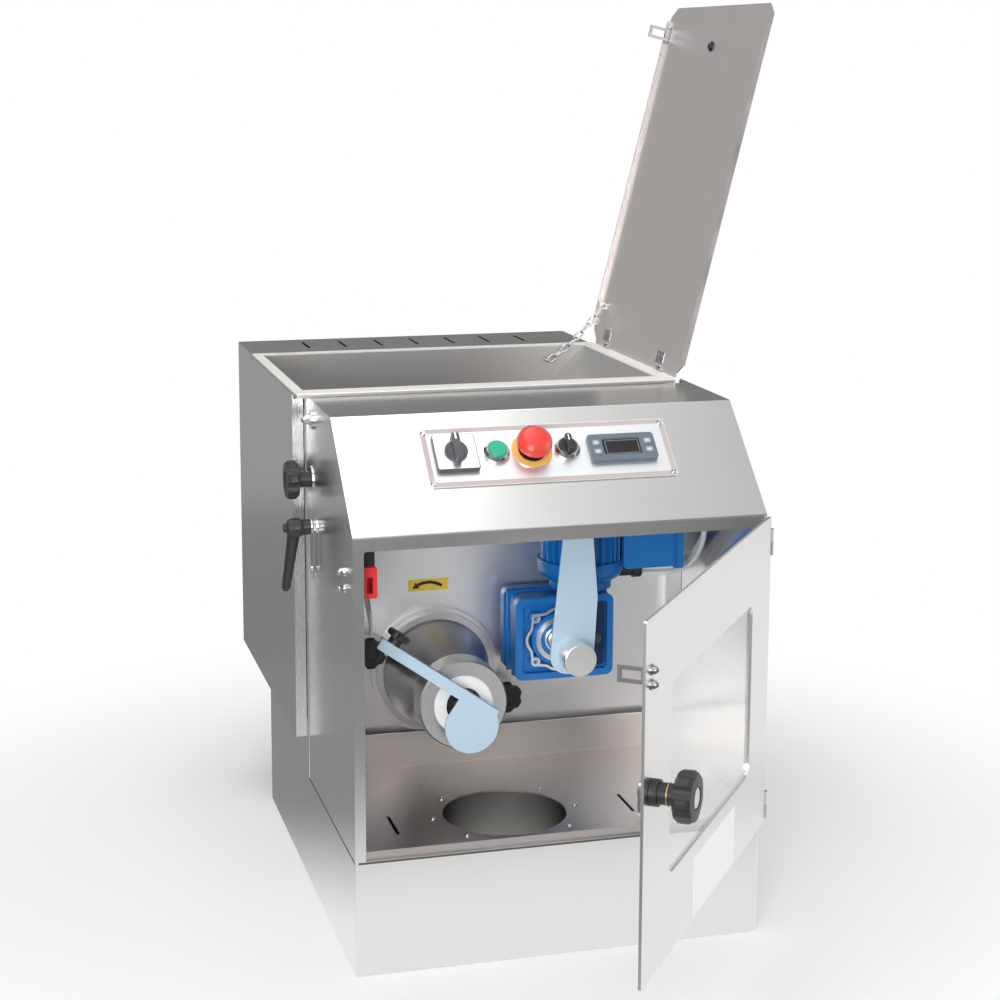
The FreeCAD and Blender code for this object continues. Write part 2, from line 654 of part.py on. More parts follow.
def finned_motor(foot, radius, length):
    """Upright motor: round flange bell, finned barrel and a louvred fan cover."""
    bell = turned([(0, 0), (radius * 0.72, 0), (radius * 0.72, 9), (radius * 0.8, 11),
                   (radius * 0.92, 15), (radius * 0.985, 21), (radius, 28), (radius, 35), (0, 35)],
                  foot, Z_AXIS)
    fins = 24
    outline = []
    for fin in range(fins):
        for share, reach in ((0.0, 0.93), (0.28, 0.93), (0.36, 0.83), (0.92, 0.83)):
            turn = 2 * pi * (fin + share) / fins
            outline.append(V(radius * reach * cos(turn), radius * reach * sin(turn), 34))
    barrel_body = Part.Face(Part.makePolygon(outline + outline[:1])).extrude(V(0, 0, length * 0.62 - 34))
    barrel_body.translate(foot)
    fan_start = length * 0.62 - 1
    cover = turned([(0, fan_start), (radius * 0.95, fan_start), (radius * 0.95, length - 10),
                    (radius * 0.88, length - 2), (radius * 0.8, length), (0, length)], foot, Z_AXIS)
    for k in range(5):
        r0 = radius * (0.2 + 0.12 * k)
        groove = [(r0, length - 3), (r0 + 3, length - 3), (r0 + 3, length + 1), (r0, length + 1)]
        cover = cover.cut(turned(groove, foot, Z_AXIS))
    return join(bell, barrel_body, cover)


# Knife gearmotor on the wall: gearbox, machined front flange, upright motor, terminal box
knife_scale = knife_gear_size / 40.0
knife_gear_depth = 78.0 * knife_scale
knife_centre = V(knife_x, 0, knife_z)
gearbox = worm_gearbox(knife_centre, knife_gear_front, knife_gear_size)
spacers = []
for turn in (45, 135, 225, 315):
    at = knife_centre + V(37.5 * cos(radians(turn)), 0, 37.5 * sin(radians(turn)))
    spacer_start = knife_gear_front + knife_gear_depth - 11
    spacers.append(rod(7.2, at + V(0, spacer_start, 0), at + V(0, wall_front, 0)))
output_rings = [ring(outer, hole, knife_centre + V(0, knife_gear_front + 0.5 - lift, 0),
                     knife_centre + V(0, knife_gear_front + 3, 0))
                for outer, hole, lift in ((26.5, 21.0, 2.5), (15.5, 13.3, 1.5))]
save("knife_gearbox", join(gearbox, *spacers, *output_rings))

star_points = []
star_radii = []
for k in range(8):
    turn = radians(45 * k)
    reach = star_boss_reach if k % 2 else star_lobe_reach
    star_points.append(V(knife_x + reach * cos(turn), knife_gear_front, knife_z + reach * sin(turn)))
    star_radii.append(6.0 if k % 2 else 16.0)
    dip = turn + radians(22.5)
    star_points.append(V(knife_x + star_dip * cos(dip), knife_gear_front, knife_z + star_dip * sin(dip)))
    star_radii.append(5.0)
star_wire = rounded(star_points, star_radii)
star = Part.Face(star_wire).extrude(V(0, star_thickness, 0))
star_inside = Part.Face(star_wire.makeOffset2D(-star_band))
star = star.cut(place(star_inside.extrude(V(0, star_thickness + 2, 0)), V(0, -1, 0), FreeCAD.Rotation()))
for turn in (45, 135, 225, 315):
    at = knife_centre + V(37.5 * cos(radians(turn)), knife_gear_front, 37.5 * sin(radians(turn)))
    star = join(star, rod(5.6, at, at + V(0, star_thickness, 0)))
    star = star.cut(rod(2.6, at - V(0, 1, 0), at + V(0, star_thickness + 1, 0)))
save("knife_gear_flange", star)

knife_motor_foot = V(knife_x + knife_gear_size, knife_gear_front + knife_gear_depth / 2, knife_z + 54.0)
terminal_lift = 26.0
knife_motor = finned_motor(knife_motor_foot, knife_motor_radius, knife_motor_length)
save("knife_motor", knife_motor)


def terminal_box(foot, radius, lift, reach, hollow_radius):
    """Cast box on the side of a motor, with a screwed cover and a round back of the given radius."""
    x0 = foot.x + radius * 0.8
    x1 = foot.x + radius + reach
    z0 = foot.z + lift
    body = rounded_plate(x0, x1, z0, z0 + 96, foot.y - 40, foot.y + 40, 6)
    body = body.cut(rod(hollow_radius, V(foot.x, foot.y, foot.z), V(foot.x, foot.y, foot.z + 200)))
    cover = box(x1 - 1, x1 + 8, foot.y - 44, foot.y + 44, z0 - 3, z0 + 99)
    cover = cover.makeFillet(5, [edge for edge in cover.Edges if edge.BoundBox.XLength > 8])
    return join(body, cover)


save("knife_terminal_box",
     terminal_box(knife_motor_foot, knife_motor_radius, terminal_lift, 56, knife_motor_radius + seat_gap))

# Elbow gland under the terminal box and three white leads that run up behind the rail
gland_at = knife_motor_foot + V(knife_motor_radius + 12, 18, terminal_lift)
gland_drop = 15.0
gland_reach = 18.0
elbow = join(rod(7, gland_at + V(0, 0, -gland_drop), gland_at),
             rod(8, gland_at + V(-8, 0, -gland_drop), gland_at + V(8, 0, -gland_drop)),
             rod(10.5, gland_at + V(8, 0, -gland_drop), gland_at + V(gland_reach, 0, -gland_drop)))
save("cable_gland", elbow)
lead_diameter = 6.0
lead_start = gland_at + V(gland_reach, 0, -gland_drop)
lead_turns = [V(17, 0, 0), V(36, -5, 0), V(49.5, -22, 8), V(52, -50, 24), V(50, -80, 48), V(44, -108, 74),
              V(30, -130, 97), V(14, -144, 112), V(1, -149, 119)]


def lead(shift):
    """Round lead: straight runs joined by arcs as large as the runs allow."""
    points = [lead_start + V(0, shift.y, shift.z)] + [lead_start + shift + step for step in lead_turns]
    edges = []
    last = points[0]
    for index in range(1, len(points) - 1):
        corner = points[index]
        back = (points[index - 1] - corner)
        ahead = (points[index + 1] - corner)
        reach = 0.45 * min(back.Length, ahead.Length)
        back.normalize()
        ahead.normalize()
        half = back.getAngle(ahead) / 2
        radius = reach * tan(half)
        middle = corner + (back + ahead).normalize() * (radius / sin(half) - radius)
        edges.append(Part.LineSegment(last, corner + back * reach).toShape())
        edges.append(Part.Arc(corner + back * reach, middle, corner + ahead * reach).toShape())
        last = corner + ahead * reach
    edges.append(Part.LineSegment(last, points[-1]).toShape())
    path = Part.Wire(edges)
    disc = Part.Wire(Part.Circle(points[0], (points[1] - points[0]), lead_diameter / 2).toShape())
    return path.makePipeShell([disc], True, False)


lead_step = V(2.5, 3.6, 5.6)
save("motor_leads", *[lead(lead_step * k) for k in (-1, 0, 1)])

# Electrics tray behind the slanted panel
tray_half = 165.0
tray_back = 112.0
tray_level = deck + hood_front_height - rail_height + sheet
tray_top = deck + hood_height - sheet
tray = join(box(-tray_half, tray_half, sheet + 1, tray_back, tray_level, tray_level + 1.5),
            box(-tray_half, tray_half, tray_back - 1.5, tray_back, tray_level, tray_top - 10),
            *[box(x0, x0 + 1.5, 30, tray_back, tray_level, tray_level + 28)
              for x0 in (-tray_half, tray_half - 1.5)])
save("electrics_tray", tray)

# Knife shaft with its round head, and the blade
blade_back = blade_front + blade_thickness
knife_bore = 9.0
shaft = join(rod(hub_radius, knife_centre + V(0, hub_front + 1, 0), knife_centre + V(0, blade_front, 0)),
             rod(hub_radius - 1, knife_centre + V(0, hub_front, 0), knife_centre + V(0, hub_front + 2, 0)),
             rod(hub_radius - 3, knife_centre + V(0, blade_back, 0), knife_centre + V(0, blade_back + 14, 0)),
             rod(sleeve_radius, knife_centre + V(0, blade_back + 13, 0),
                 knife_centre + V(0, knife_gear_front - 0.5, 0)),
             rod(knife_bore, knife_centre + V(0, hub_front + 2, 0),
                 knife_centre + V(0, knife_gear_front + knife_gear_depth + 4, 0)))
save("knife_shaft", shaft)
blade_outline = [(-30, -24), (-13, blade_reach * 0.82), (-10, blade_reach * 0.955), (18, blade_reach * 0.975),
                 (23, blade_reach * 0.82), (29, 65), (24, -24)]
blade_radii = [22, 60, 9, 9, 60, 60, 22]
blade = slab([V(knife_x + px, blade_front, knife_z + pz) for px, pz in blade_outline], blade_radii,
             V(0, blade_thickness, 0))
bevel_start = V(knife_x - 32, blade_front - 1, knife_z + 16)
bevel = Part.Face(Part.makePolygon([bevel_start, bevel_start + V(11, 0, 0), bevel_start + V(0, 3.2, 0),
                                    bevel_start]))
bevel = bevel.extrude(V(14.5, 0, blade_reach * 0.955))
blade_hole = rod(knife_bore, knife_centre + V(0, blade_front - 1, 0), knife_centre + V(0, blade_back + 1, 0))
blade = blade.cut(bevel).cut(blade_hole)
save("knife_blade", blade)

# Feed gearmotor behind the hopper
feed_scale = feed_gear_size / 40.0
feed_gear_depth = 78.0 * feed_scale
feed_gearbox = worm_gearbox(V(feed_x, 0, feed_z), feed_gear_front, feed_gear_size)
save("feed_gearbox", feed_gearbox)
feed_motor_foot = V(feed_x + feed_gear_size, feed_gear_front + feed_gear_depth / 2,
                    feed_z + 54.0 * feed_scale)
feed_motor = finned_motor(feed_motor_foot, feed_motor_radius, feed_motor_length)
feed_box = terminal_box(feed_motor_foot, feed_motor_radius, terminal_lift, 50, feed_motor_radius * 0.94)
save("feed_motor", join(feed_motor, feed_box))

# Portion gauge: bent strip on a pivot shaft, slotted angle arm with a round stop plate
gauge_d = V(cos(radians(gauge_slope)), 0, -sin(radians(gauge_slope)))
gauge_n = V(sin(radians(gauge_slope)), 0, cos(radians(gauge_slope)))
gauge_origin = V(gauge_left, gauge_front, deck + gauge_top)


def on_gauge(along, across, depth=0.0):
    return gauge_origin + gauge_d * along + gauge_n * across + V(0, depth, 0)


disc_at = gauge_length - 17.4
arm_face = slab([on_gauge(0, -gauge_face), on_gauge(gauge_length, -gauge_face), on_gauge(gauge_length, 0),
                 on_gauge(0, 0)], [2, 0, 0, 0], V(0, gauge_thickness, 0))
stop_disc = rod(gauge_disc_radius, on_gauge(disc_at, -gauge_disc_radius),
                on_gauge(disc_at, -gauge_disc_radius, gauge_thickness))
stop_side = slab([on_gauge(disc_at - gauge_disc_radius, -gauge_disc_radius),
                  on_gauge(disc_at, -gauge_disc_radius), on_gauge(disc_at, 0),
                  on_gauge(disc_at - gauge_disc_radius, 0)], [0] * 4, V(0, gauge_thickness, 0))
arm_flange = slab([on_gauge(0, 0), on_gauge(gauge_length, 0), on_gauge(gauge_length, 0, gauge_flange),
                   on_gauge(0, 0, gauge_flange)], [0, 0, 3, 3], gauge_n * -gauge_thickness)
slot_half = 3.2
slot_mid = gauge_thickness + (gauge_flange - gauge_thickness) / 2
slot_low = slot_mid - slot_half
slot_high = slot_mid + slot_half
arm_slot = slab([on_gauge(gauge_slot_start, 1, slot_low), on_gauge(gauge_slot_end, 1, slot_low),
                 on_gauge(gauge_slot_end, 1, slot_high), on_gauge(gauge_slot_start, 1, slot_high)],
                [2.8] * 4, gauge_n * -(gauge_thickness + 2))
save("gauge_arm", join(arm_face, stop_disc, stop_side, arm_flange).cut(arm_slot))

strip_sheet = 2.0
foot_start = on_gauge(-1, -gauge_thickness)
foot_end = on_gauge(gauge_slot_end + 4, -gauge_thickness)
foot_rise = (foot_start.x - strip_x) * tan(radians(gauge_slope))
foot = slab([V(strip_x, gauge_front + gauge_thickness + 0.5, foot_start.z + foot_rise),
             V(foot_end.x, gauge_front + gauge_thickness + 0.5, foot_end.z),
             V(foot_end.x, gauge_front + gauge_flange, foot_end.z),
             V(strip_x, gauge_front + gauge_flange, foot_start.z + foot_rise)],
            [0] * 4, gauge_n * -strip_sheet)
pivot = V(strip_x, gauge_pivot_y, deck + gauge_pivot_level)
leg_outline = [V(strip_x, gauge_front + gauge_thickness + 0.5, foot_start.z + foot_rise - 2.8),
               V(strip_x, gauge_front + gauge_flange, foot_start.z + foot_rise - 2.8),
               V(strip_x, gauge_front + gauge_flange, deck + gauge_top + 14),
               V(strip_x, gauge_pivot_y + 8, deck + gauge_pivot_level - 7),
               V(strip_x, gauge_pivot_y + 1, deck + gauge_pivot_level + 9),
               V(strip_x, gauge_pivot_y - 12, deck + gauge_pivot_level + 3),
               V(strip_x, gauge_front + gauge_thickness + 0.5, deck + gauge_top + 28)]
leg = slab(leg_outline, [0, 0, 5, 6, 6, 5, 8], V(-strip_sheet, 0, 0))
gauge_stud_base = on_gauge(gauge_stud_at, -gauge_thickness, slot_mid)
gauge_stud = rod(2.5, gauge_stud_base, gauge_stud_base + gauge_n * 14)
lever_seat = -half_hood - bush_length - seat_gap
pivot_shaft = rod(6, V(lever_seat - 3.5, pivot.y, pivot.z), V(strip_x - strip_sheet / 2, pivot.y, pivot.z))
save("gauge_strip", join(leg, foot, gauge_stud, pivot_shaft))
gauge_knob = star_knob(on_gauge(gauge_stud_at, seat_gap, slot_mid), gauge_n, gauge_knob_radius, 6, 0.55, 1.05,
                       2.5 + bore_clearance, 13)
save("gauge_knob", gauge_knob)

# Outside fittings on the left panel: bush, clamping lever, hanging ring, star knob, bolts
panel_side = -half_hood
bush = ring(8.5, 6 + bore_clearance, V(panel_side - bush_length, pivot.y, pivot.z),
            V(panel_side, pivot.y, pivot.z))
groove = ring(10, groove_radius, V(panel_side - 5.6, pivot.y, pivot.z),
              V(panel_side - 1.6, pivot.y, pivot.z))
lever_hub = turned([(0, 0), (9, 0), (9.5, 9), (11, 12), (11.5, 20), (9, 26), (5, 28), (5, 31), (0, 31)],
                   V(lever_seat, pivot.y, pivot.z), V(-1, 0, 0))
grip_root = V(lever_seat - 18, pivot.y, pivot.z)
grip_tip = V(lever_seat - 25, pivot.y + 26, pivot.z - 80)
grip_path = grip_tip - grip_root
grip = turned([(0, 0), (7.5, 0), (7.2, 14), (5.8, grip_path.Length * 0.6), (5.2, grip_path.Length * 0.95),
               (3.5, grip_path.Length), (0, grip_path.Length + 0.5)], grip_root, grip_path)
save("clamp_lever", join(lever_hub, grip).cut(rod(6 + bore_clearance, V(lever_seat + 1, pivot.y, pivot.z),
                                                   V(lever_seat - 4, pivot.y, pivot.z))))
ring_x = panel_side - 3.6
ring_top = pivot.z + groove_radius - ring_half + seat_gap + ring_wire
loop = Part.Wire([Part.Arc(V(ring_x, pivot.y - ring_half, ring_top), V(ring_x, pivot.y, ring_top + ring_half),
                           V(ring_x, pivot.y + ring_half, ring_top)).toShape(),
                  Part.LineSegment(V(ring_x, pivot.y + ring_half, ring_top),
                                   V(ring_x, pivot.y + ring_half, ring_top - ring_drop)).toShape(),
                  Part.Arc(V(ring_x, pivot.y + ring_half, ring_top - ring_drop),
                           V(ring_x, pivot.y, ring_top - ring_drop - ring_half),
                           V(ring_x, pivot.y - ring_half, ring_top - ring_drop)).toShape(),
                  Part.LineSegment(V(ring_x, pivot.y - ring_half, ring_top - ring_drop),
                                   V(ring_x, pivot.y - ring_half, ring_top)).toShape()])
wire_disc = Part.Wire(Part.Circle(V(ring_x, pivot.y + ring_half, ring_top - 5), Z_AXIS, ring_wire).toShape())
save("hanging_ring", loop.makePipeShell([wire_disc], True, False))

knob_at = V(panel_side, side_knob_y, deck + side_knob_level)
side_knob = star_knob(knob_at - V(1.5 + seat_gap, 0, 0), V(-1, 0, 0), side_knob_radius, 7, 0.42, 1.3,
                      4 + bore_clearance, 16)
save("side_knob", side_knob)
side_stud = join(rod(4, knob_at - V(15, 0, 0), knob_at + V(20, 0, 0)),
                 rod(15, knob_at - V(1.5, 0, 0), knob_at),
                 rod(9, knob_at + V(sheet, 0, 0), knob_at + V(sheet + 6, 0, 0)))
bolt_at = V(panel_side, side_bolt_y, deck + side_bolt_level)
side_bolt = join(dome_nut(bolt_at - V(3, 0, 0), V(-1, 0, 0), 5, 10),
                 rod(11, bolt_at - V(3, 0, 0), bolt_at),
                 rod(4, bolt_at - V(3, 0, 0), bolt_at + V(12, 0, 0)))
switch_bolts = [dome_nut(V(panel_side, 50, deck + key_level + lift), V(-1, 0, 0), 4, 7) for lift in (-8, 10)]
save("side_fasteners", side_stud, side_bolt, *switch_bolts)

# Door interlock switch on the left wall: slotted head that takes the door's key
key_x = door_axis_x - key_from_hinge
head_low = deck + key_level - 14
switch_left = -half_hood + sheet
head = box(switch_left, key_x + 8, 22, 62, head_low, head_low + 34)
head = head.makeFillet(2, [edge for edge in head.Edges if edge.BoundBox.YLength > 30])
slot = box(key_x - 3.2, key_x + 3.2, 20, 40, deck + key_level - key_height / 2 - 0.8,
           deck + key_level + key_height / 2 + 0.8)
switch_body = box(switch_left, key_x + 7, 30, 62, head_low + 34, head_low + 62)
switch_corner = [edge for edge in switch_body.Edges
                 if edge.BoundBox.YLength > 30 and edge.BoundBox.ZMin > head_low + 60
                 and edge.BoundBox.XMin > switch_left + 5]
save("door_switch", join(head.cut(slot), switch_body.makeChamfer(8, switch_corner)))

# Lid interlock switch on the back of the hopper, under the slot in the rim
lid_switch = box(lid_key_x - 22, lid_key_x + 22, hopper_back, rim_back - sheet - 0.5,
                 deck + casing_ledge - 38, rim_top - rim_thickness - 1)
save("lid_switch", lid_switch.cut(box(lid_key_x - 10, lid_key_x + 10, lid_key_y - lid_slot_half,
                                      lid_key_y + lid_slot_half, rim_top - 32, rim_top)))

# Everything on the slanted face is made flat, with Y up the slant and Z outwards, then tilted
slant_turn = FreeCAD.Rotation(X_AXIS, slant_angle)
slant_top = V(0, slant_run, deck + hood_height)


def on_slant(shape):
    return place(shape, slant_top, slant_turn)


px0, px1 = panel_x - panel_width / 2, panel_x + panel_width / 2
py0, py1 = -panel_down - panel_height / 2, -panel_down + panel_height / 2

# Round holes through the label plate and the hood let the two push buttons travel
row_y = -row_down
start_radius = 10.9
stem_radius = 8.0
label = flat_plate(px0, px1, py0, py1, 0, panel_thickness, 5)
button_holes = [rod(radius + seat_gap, V(x, row_y, -2 * sheet), V(x, row_y, panel_thickness + 1))
                for x, radius in ((start_x, start_radius), (estop_x, stem_radius))]
hood = join(hood, bush.cut(groove))
for hole in button_holes:
    label = label.cut(hole)
    hood = hood.cut(on_slant(hole))
save("label_plate", on_slant(label))
save("hood_shell", hood)
screw_places = [V(panel_x + sx * panel_screw_x, -panel_down + sy * panel_screw_y, panel_thickness)
                for sx in (-1, 1) for sy in (-1, 1)]
label_screws = [on_slant(pan_head(at, Z_AXIS)) for at in screw_places]
top = panel_thickness
half_switch = main_switch_size / 2
surround = flat_plate(main_switch_x - half_switch, main_switch_x + half_switch, row_y - half_switch,
                      row_y + half_switch, top, top + 6, 2.5)
surround = surround.cut(rod(7, V(main_switch_x, row_y, top + 3), V(main_switch_x, row_y, top + 7)))
save("main_switch_plate", on_slant(surround))
lever_disc = turned([(0, 0), (6.9, 0), (6.9, 3), (12.5, 3.2), (13, 6), (11, 9), (0, 9)],
                    V(main_switch_x, row_y, top + 3.2), Z_AXIS)
lever_bar = flat_plate(main_switch_x - 4.5, main_switch_x + 4.5, row_y - 16, row_y + 19,
                       top + 6.6, top + 17, 4)
lever_hole = rod(1.8, V(main_switch_x - 6, row_y + 13, top + 12.5),
                 V(main_switch_x + 6, row_y + 13, top + 12.5))
save("main_switch_knob", on_slant(join(lever_disc, lever_bar).cut(lever_hole)))


def bezel(x):
    return turned([(11, 0), (bezel_radius, 0), (bezel_radius, 3.5), (bezel_radius - 2.5, 7), (11, 7)],
                  V(x, row_y, top), Z_AXIS)


save("start_button", on_slant(turned([(0, 1), (start_radius, 1), (start_radius, 8.5), (10, 9.5), (0, 9.5)],
                                     V(start_x, row_y, top), Z_AXIS)))
estop_ring = turned([(8.05, 0), (23, 0), (23, 1.5), (15.5, 1.8), (15.5, 2.5), (8.05, 2.5)],
                    V(estop_x, row_y, top), Z_AXIS)
save("button_bezels", *[on_slant(shape) for shape in (bezel(start_x), bezel(selector_x), estop_ring)])
save("estop_stem", on_slant(rod(stem_radius, V(estop_x, row_y, top + 1), V(estop_x, row_y, top + 15.7))))
mushroom = turned([(8.4, 8), (14.5, 8), (14.5, 12), (18, 12), (20, 14.5), (20, 18.5), (18.5, 23),
                   (14, 27), (7, 29), (0, 29.4), (0, 16), (8.4, 16)], V(estop_x, row_y, top), Z_AXIS)
save("estop_button", on_slant(mushroom))
selector_disc = turned([(0, 1), (10.9, 1), (10.9, 7.5), (9.5, 8.5), (0, 8.5)],
                       V(selector_x, row_y, top), Z_AXIS)
selector_bar = flat_plate(selector_x - 3.6, selector_x + 3.6, row_y - 10, row_y + 11, top + 8, top + 16, 3)
save("selector_knob", on_slant(join(selector_disc, selector_bar)))
cx0, cx1 = controller_x - controller_width / 2, controller_x + controller_width / 2
cy0, cy1 = -controller_down - controller_height / 2, -controller_down + controller_height / 2
controller = flat_plate(cx0, cx1, cy0, cy1, top, top + 6, 4)
controller = controller.cut(flat_plate(controller_x - 23, controller_x + 21, cy0 + 7.5, cy1 - 6,
                                       top + 5.2, top + 7, 2))
button_places = [(cx0 + 8.5, cy1 - 12), (cx0 + 8.5, cy1 - 24), (cx1 - 9, cy1 - 12), (cx1 - 9, cy1 - 24)]
for bx, by in button_places:
    controller = controller.cut(flat_plate(bx - 4.2, bx + 4.2, by - 3.2, by + 3.2, top + 4, top + 7, 2))
save("controller_body", on_slant(controller))
for index, (bx, by) in enumerate(button_places):
    key = flat_plate(bx - 4, bx + 4, by - 3, by + 3, top + 5.2, top + 7, 1.8)
    save("controller_key_%d" % (index + 1), on_slant(key))

# Floor screws round the chute
floor_screws = []
for turn in (0, 45, 135, 180, 225, 315):
    arm = radians(turn)
    at = chute_centre + V(floor_screw_radius * cos(arm), floor_screw_radius * sin(arm), floor_z)
    floor_screws.append(pan_head(at, Z_AXIS))
save("panel_screws", *label_screws, *floor_screws)

# Door: made closed, then turned open about its hinge pins
door_inner = -0.5
door_outer = door_inner - door_thickness
door_free = door_axis_x - door_width
axis_point = V(door_axis_x, door_axis_y, 0)
hinge_spans = [(door_bottom + 3, door_bottom + 35), (door_top - 45, door_top - 15)]


def opened(shape):
    moved = shape.copy()
    moved.rotate(axis_point, Z_AXIS, door_open)
    return moved


door = rounded_plate(door_free, door_axis_x - 5, deck + door_bottom, deck + door_top,
                     door_outer, door_inner, 2)
wx0, wx1 = door_axis_x - window_far, door_axis_x - window_near
door = door.cut(rounded_plate(wx0, wx1, deck + window_low, deck + window_high,
                              door_outer - 1, door_inner + 1, window_radius))
for low, high in hinge_spans:
    middle = deck + (low + high) / 2
    door = join(door,
                rod(3.4, V(door_axis_x, door_axis_y, middle + 0.2), V(door_axis_x, door_axis_y, deck + high)),
                box(door_axis_x - 20, door_axis_x, door_outer, door_inner - 1, middle + 0.2, deck + high))
    door = door.cut(rod(1.5 + bore_clearance, V(door_axis_x, door_axis_y, middle - 1),
                        V(door_axis_x, door_axis_y, deck + high + 1)))
latch_x = door_axis_x - latch_from_hinge
door = door.cut(rod(6 + bore_clearance, V(latch_x, door_outer - 1, deck + latch_level),
                    V(latch_x, door_inner + 1, deck + latch_level)))
key_x = door_axis_x - key_from_hinge
for side in (-1, 1):
    bolt_z = deck + key_level + side * key_bolt_pitch / 2
    door = door.cut(rod(1.9 + bore_clearance, V(key_x, door_outer - 1, bolt_z),
                        V(key_x, door_inner + 1, bolt_z)))
save("door_panel", opened(door))
pane = rounded_plate(wx0 - pane_lap, wx1 + pane_lap,
                     deck + window_low - pane_lap, deck + window_high + pane_lap,
                     door_inner, door_inner + pane_thickness, window_radius + pane_lap)
save("door_window", opened(pane))
hinges = []
for low, high in hinge_spans:
    middle = deck + (low + high) / 2
    hinge = join(rod(3.4, V(door_axis_x, door_axis_y, deck + low), V(door_axis_x, door_axis_y, middle)),
                 rod(1.5, V(door_axis_x, door_axis_y, deck + low), V(door_axis_x, door_axis_y, deck + high)),
                 box(half_hood, half_hood + 1.5, door_axis_y, 16, deck + low, middle),
                 box(half_hood, door_axis_x, door_axis_y - 0.75, door_axis_y + 1.2, deck + low, middle))
    hinges.append(hinge)
save("door_hinges", *hinges)

# Latch: star knob outside, collar and tongue inside, all on one spindle
latch_z = deck + latch_level
spindle = join(rod(6, V(latch_x, door_outer - 3, latch_z), V(latch_x, door_inner + 9, latch_z)),
               rod(13, V(latch_x, door_outer - 8, latch_z), V(latch_x, door_outer - seat_gap, latch_z)))
latch_knob = star_knob(V(latch_x, door_outer - 7, latch_z), V(0, -1, 0), 25, 7, 0.42, 1.5)
save("door_knob", opened(join(spindle, latch_knob)))
tongue = rounded_plate(latch_x - 8, latch_x + 8, latch_z - tongue_reach, latch_z + 9,
                       door_inner + 5, door_inner + 8, 6)
tongue = join(tongue, ring(9, 5, V(latch_x, door_inner + 3.5, latch_z),
                           V(latch_x, door_inner + 5.5, latch_z)))
save("latch_tongue", opened(tongue.cut(rod(6, V(latch_x, 0, latch_z), V(latch_x, 20, latch_z)))))


def interlock_key(thickness=2.0):
    """Flat fork with a closed end on a small T foot; Z is its reach, Y its width."""
    blade_plate = box(-thickness / 2, thickness / 2, -key_height / 2, key_height / 2, 0, key_length)
    gap = box(-thickness, thickness, -key_height / 2 + 3.5, key_height / 2 - 3.5, 7, key_length - 4)
    foot_plate = box(-5, 5, -key_height / 2 - 3, key_height / 2 + 3, 0, 0.7)
    return join(blade_plate.cut(gap), foot_plate)


key_turn = FreeCAD.Rotation(V(1, 0, 0), V(0, 0, -1), V(0, 1, 0), "XYZ")
door_key = place(interlock_key(), V(key_x, door_inner, deck + key_level), key_turn)
key_bolts = [rod(1.9, V(key_x, door_outer - 1, deck + key_level + side * key_bolt_pitch / 2),
                 V(key_x, door_inner + 0.5, deck + key_level + side * key_bolt_pitch / 2))
             for side in (-1, 1)]
door_nuts = [dome_nut(V(key_x, door_outer, deck + key_level + side * key_bolt_pitch / 2), V(0, -1, 0), 4, 6)
             for side in (-1, 1)]
save("door_key", opened(join(door_key, *key_bolts, *door_nuts)))

# Lid: made closed, then turned open about its hinge pins
lid_axis = V(lid_axis_x, 0, deck + lid_axis_level)
lid_inner = rim_top + hang_gap
lid_free = lid_axis_x - lid_length
lid_hinge_side = lid_axis_x - 4


def lifted(shape):
    moved = shape.copy()
    moved.rotate(lid_axis, Y_AXIS, lid_lean)
    return moved


def lid_outline(shrink, z):
    c = lid_chamfer
    x0, x1, y0, y1 = lid_free + shrink, lid_hinge_side - shrink, lid_front + shrink, lid_back - shrink
    return Part.makePolygon([V(x0 + c * 0.7, y0, z), V(x1 - c * 0.7, y0, z), V(x1, y0 + c, z),
                             V(x1, y1 - c, z), V(x1 - c * 0.7, y1, z), V(x0 + c * 0.7, y1, z),
                             V(x0, y1 - c, z), V(x0, y0 + c, z), V(x0 + c * 0.7, y0, z)])


lid_plate = Part.Face(lid_outline(0, lid_inner)).extrude(V(0, 0, lid_sheet))
lid_edges = [box(lid_free + lid_chamfer, lid_hinge_side - lid_chamfer, y0, y0 + lid_sheet,
                 lid_inner - lid_edge, lid_inner + 0.5)
             for y0 in (lid_front, lid_back - lid_sheet)]
lid = join(lid_plate, *lid_edges)
hinge_half = 13.0
for hinge_y in lid_hinges:
    hinge_end = hinge_y + hinge_half
    lid = join(lid, rod(3, V(lid_axis_x, hinge_y, lid_axis.z), V(lid_axis_x, hinge_end, lid_axis.z)),
               box(lid_axis_x - 22, lid_axis_x, hinge_y, hinge_end, lid_inner, lid_inner + lid_sheet))
    lid = lid.cut(rod(1.3 + bore_clearance, V(lid_axis_x, hinge_y - 1, lid_axis.z),
                      V(lid_axis_x, hinge_y + hinge_half + 1, lid_axis.z)))
lid_hinge_parts = []
for hinge_y in lid_hinges:
    lid_hinge_parts.append(join(
        rod(3, V(lid_axis_x, hinge_y - hinge_half, lid_axis.z), V(lid_axis_x, hinge_y - 0.3, lid_axis.z)),
        rod(1.3, V(lid_axis_x, hinge_y - hinge_half, lid_axis.z),
            V(lid_axis_x, hinge_y + hinge_half, lid_axis.z)),
        box(rim_right, rim_right + 1.5, hinge_y - hinge_half, hinge_y - 0.3, lid_axis.z - 14, lid_axis.z),
        box(rim_right, lid_axis_x, hinge_y - hinge_half, hinge_y - 0.3, lid_axis.z - 1.5, lid_axis.z)))
save("lid_hinges", *lid_hinge_parts)
down_turn = FreeCAD.Rotation(V(0, 1, 0), V(1, 0, 0), V(0, 0, -1), "XYZ")
lid_key = place(interlock_key(), V(lid_key_x, lid_key_y, lid_inner), down_turn)
save("lid_key", lifted(lid_key))
handle_at = V(lid_axis_x - handle_from_hinge, (lid_front + lid_back) / 2, lid_inner + lid_sheet)
handle = turned([(0, 0), (9, 0), (7, 6), (6, 14), (9, 20), (16, 25), (17, 30), (14, 35), (0, 37)],
                handle_at, Z_AXIS)
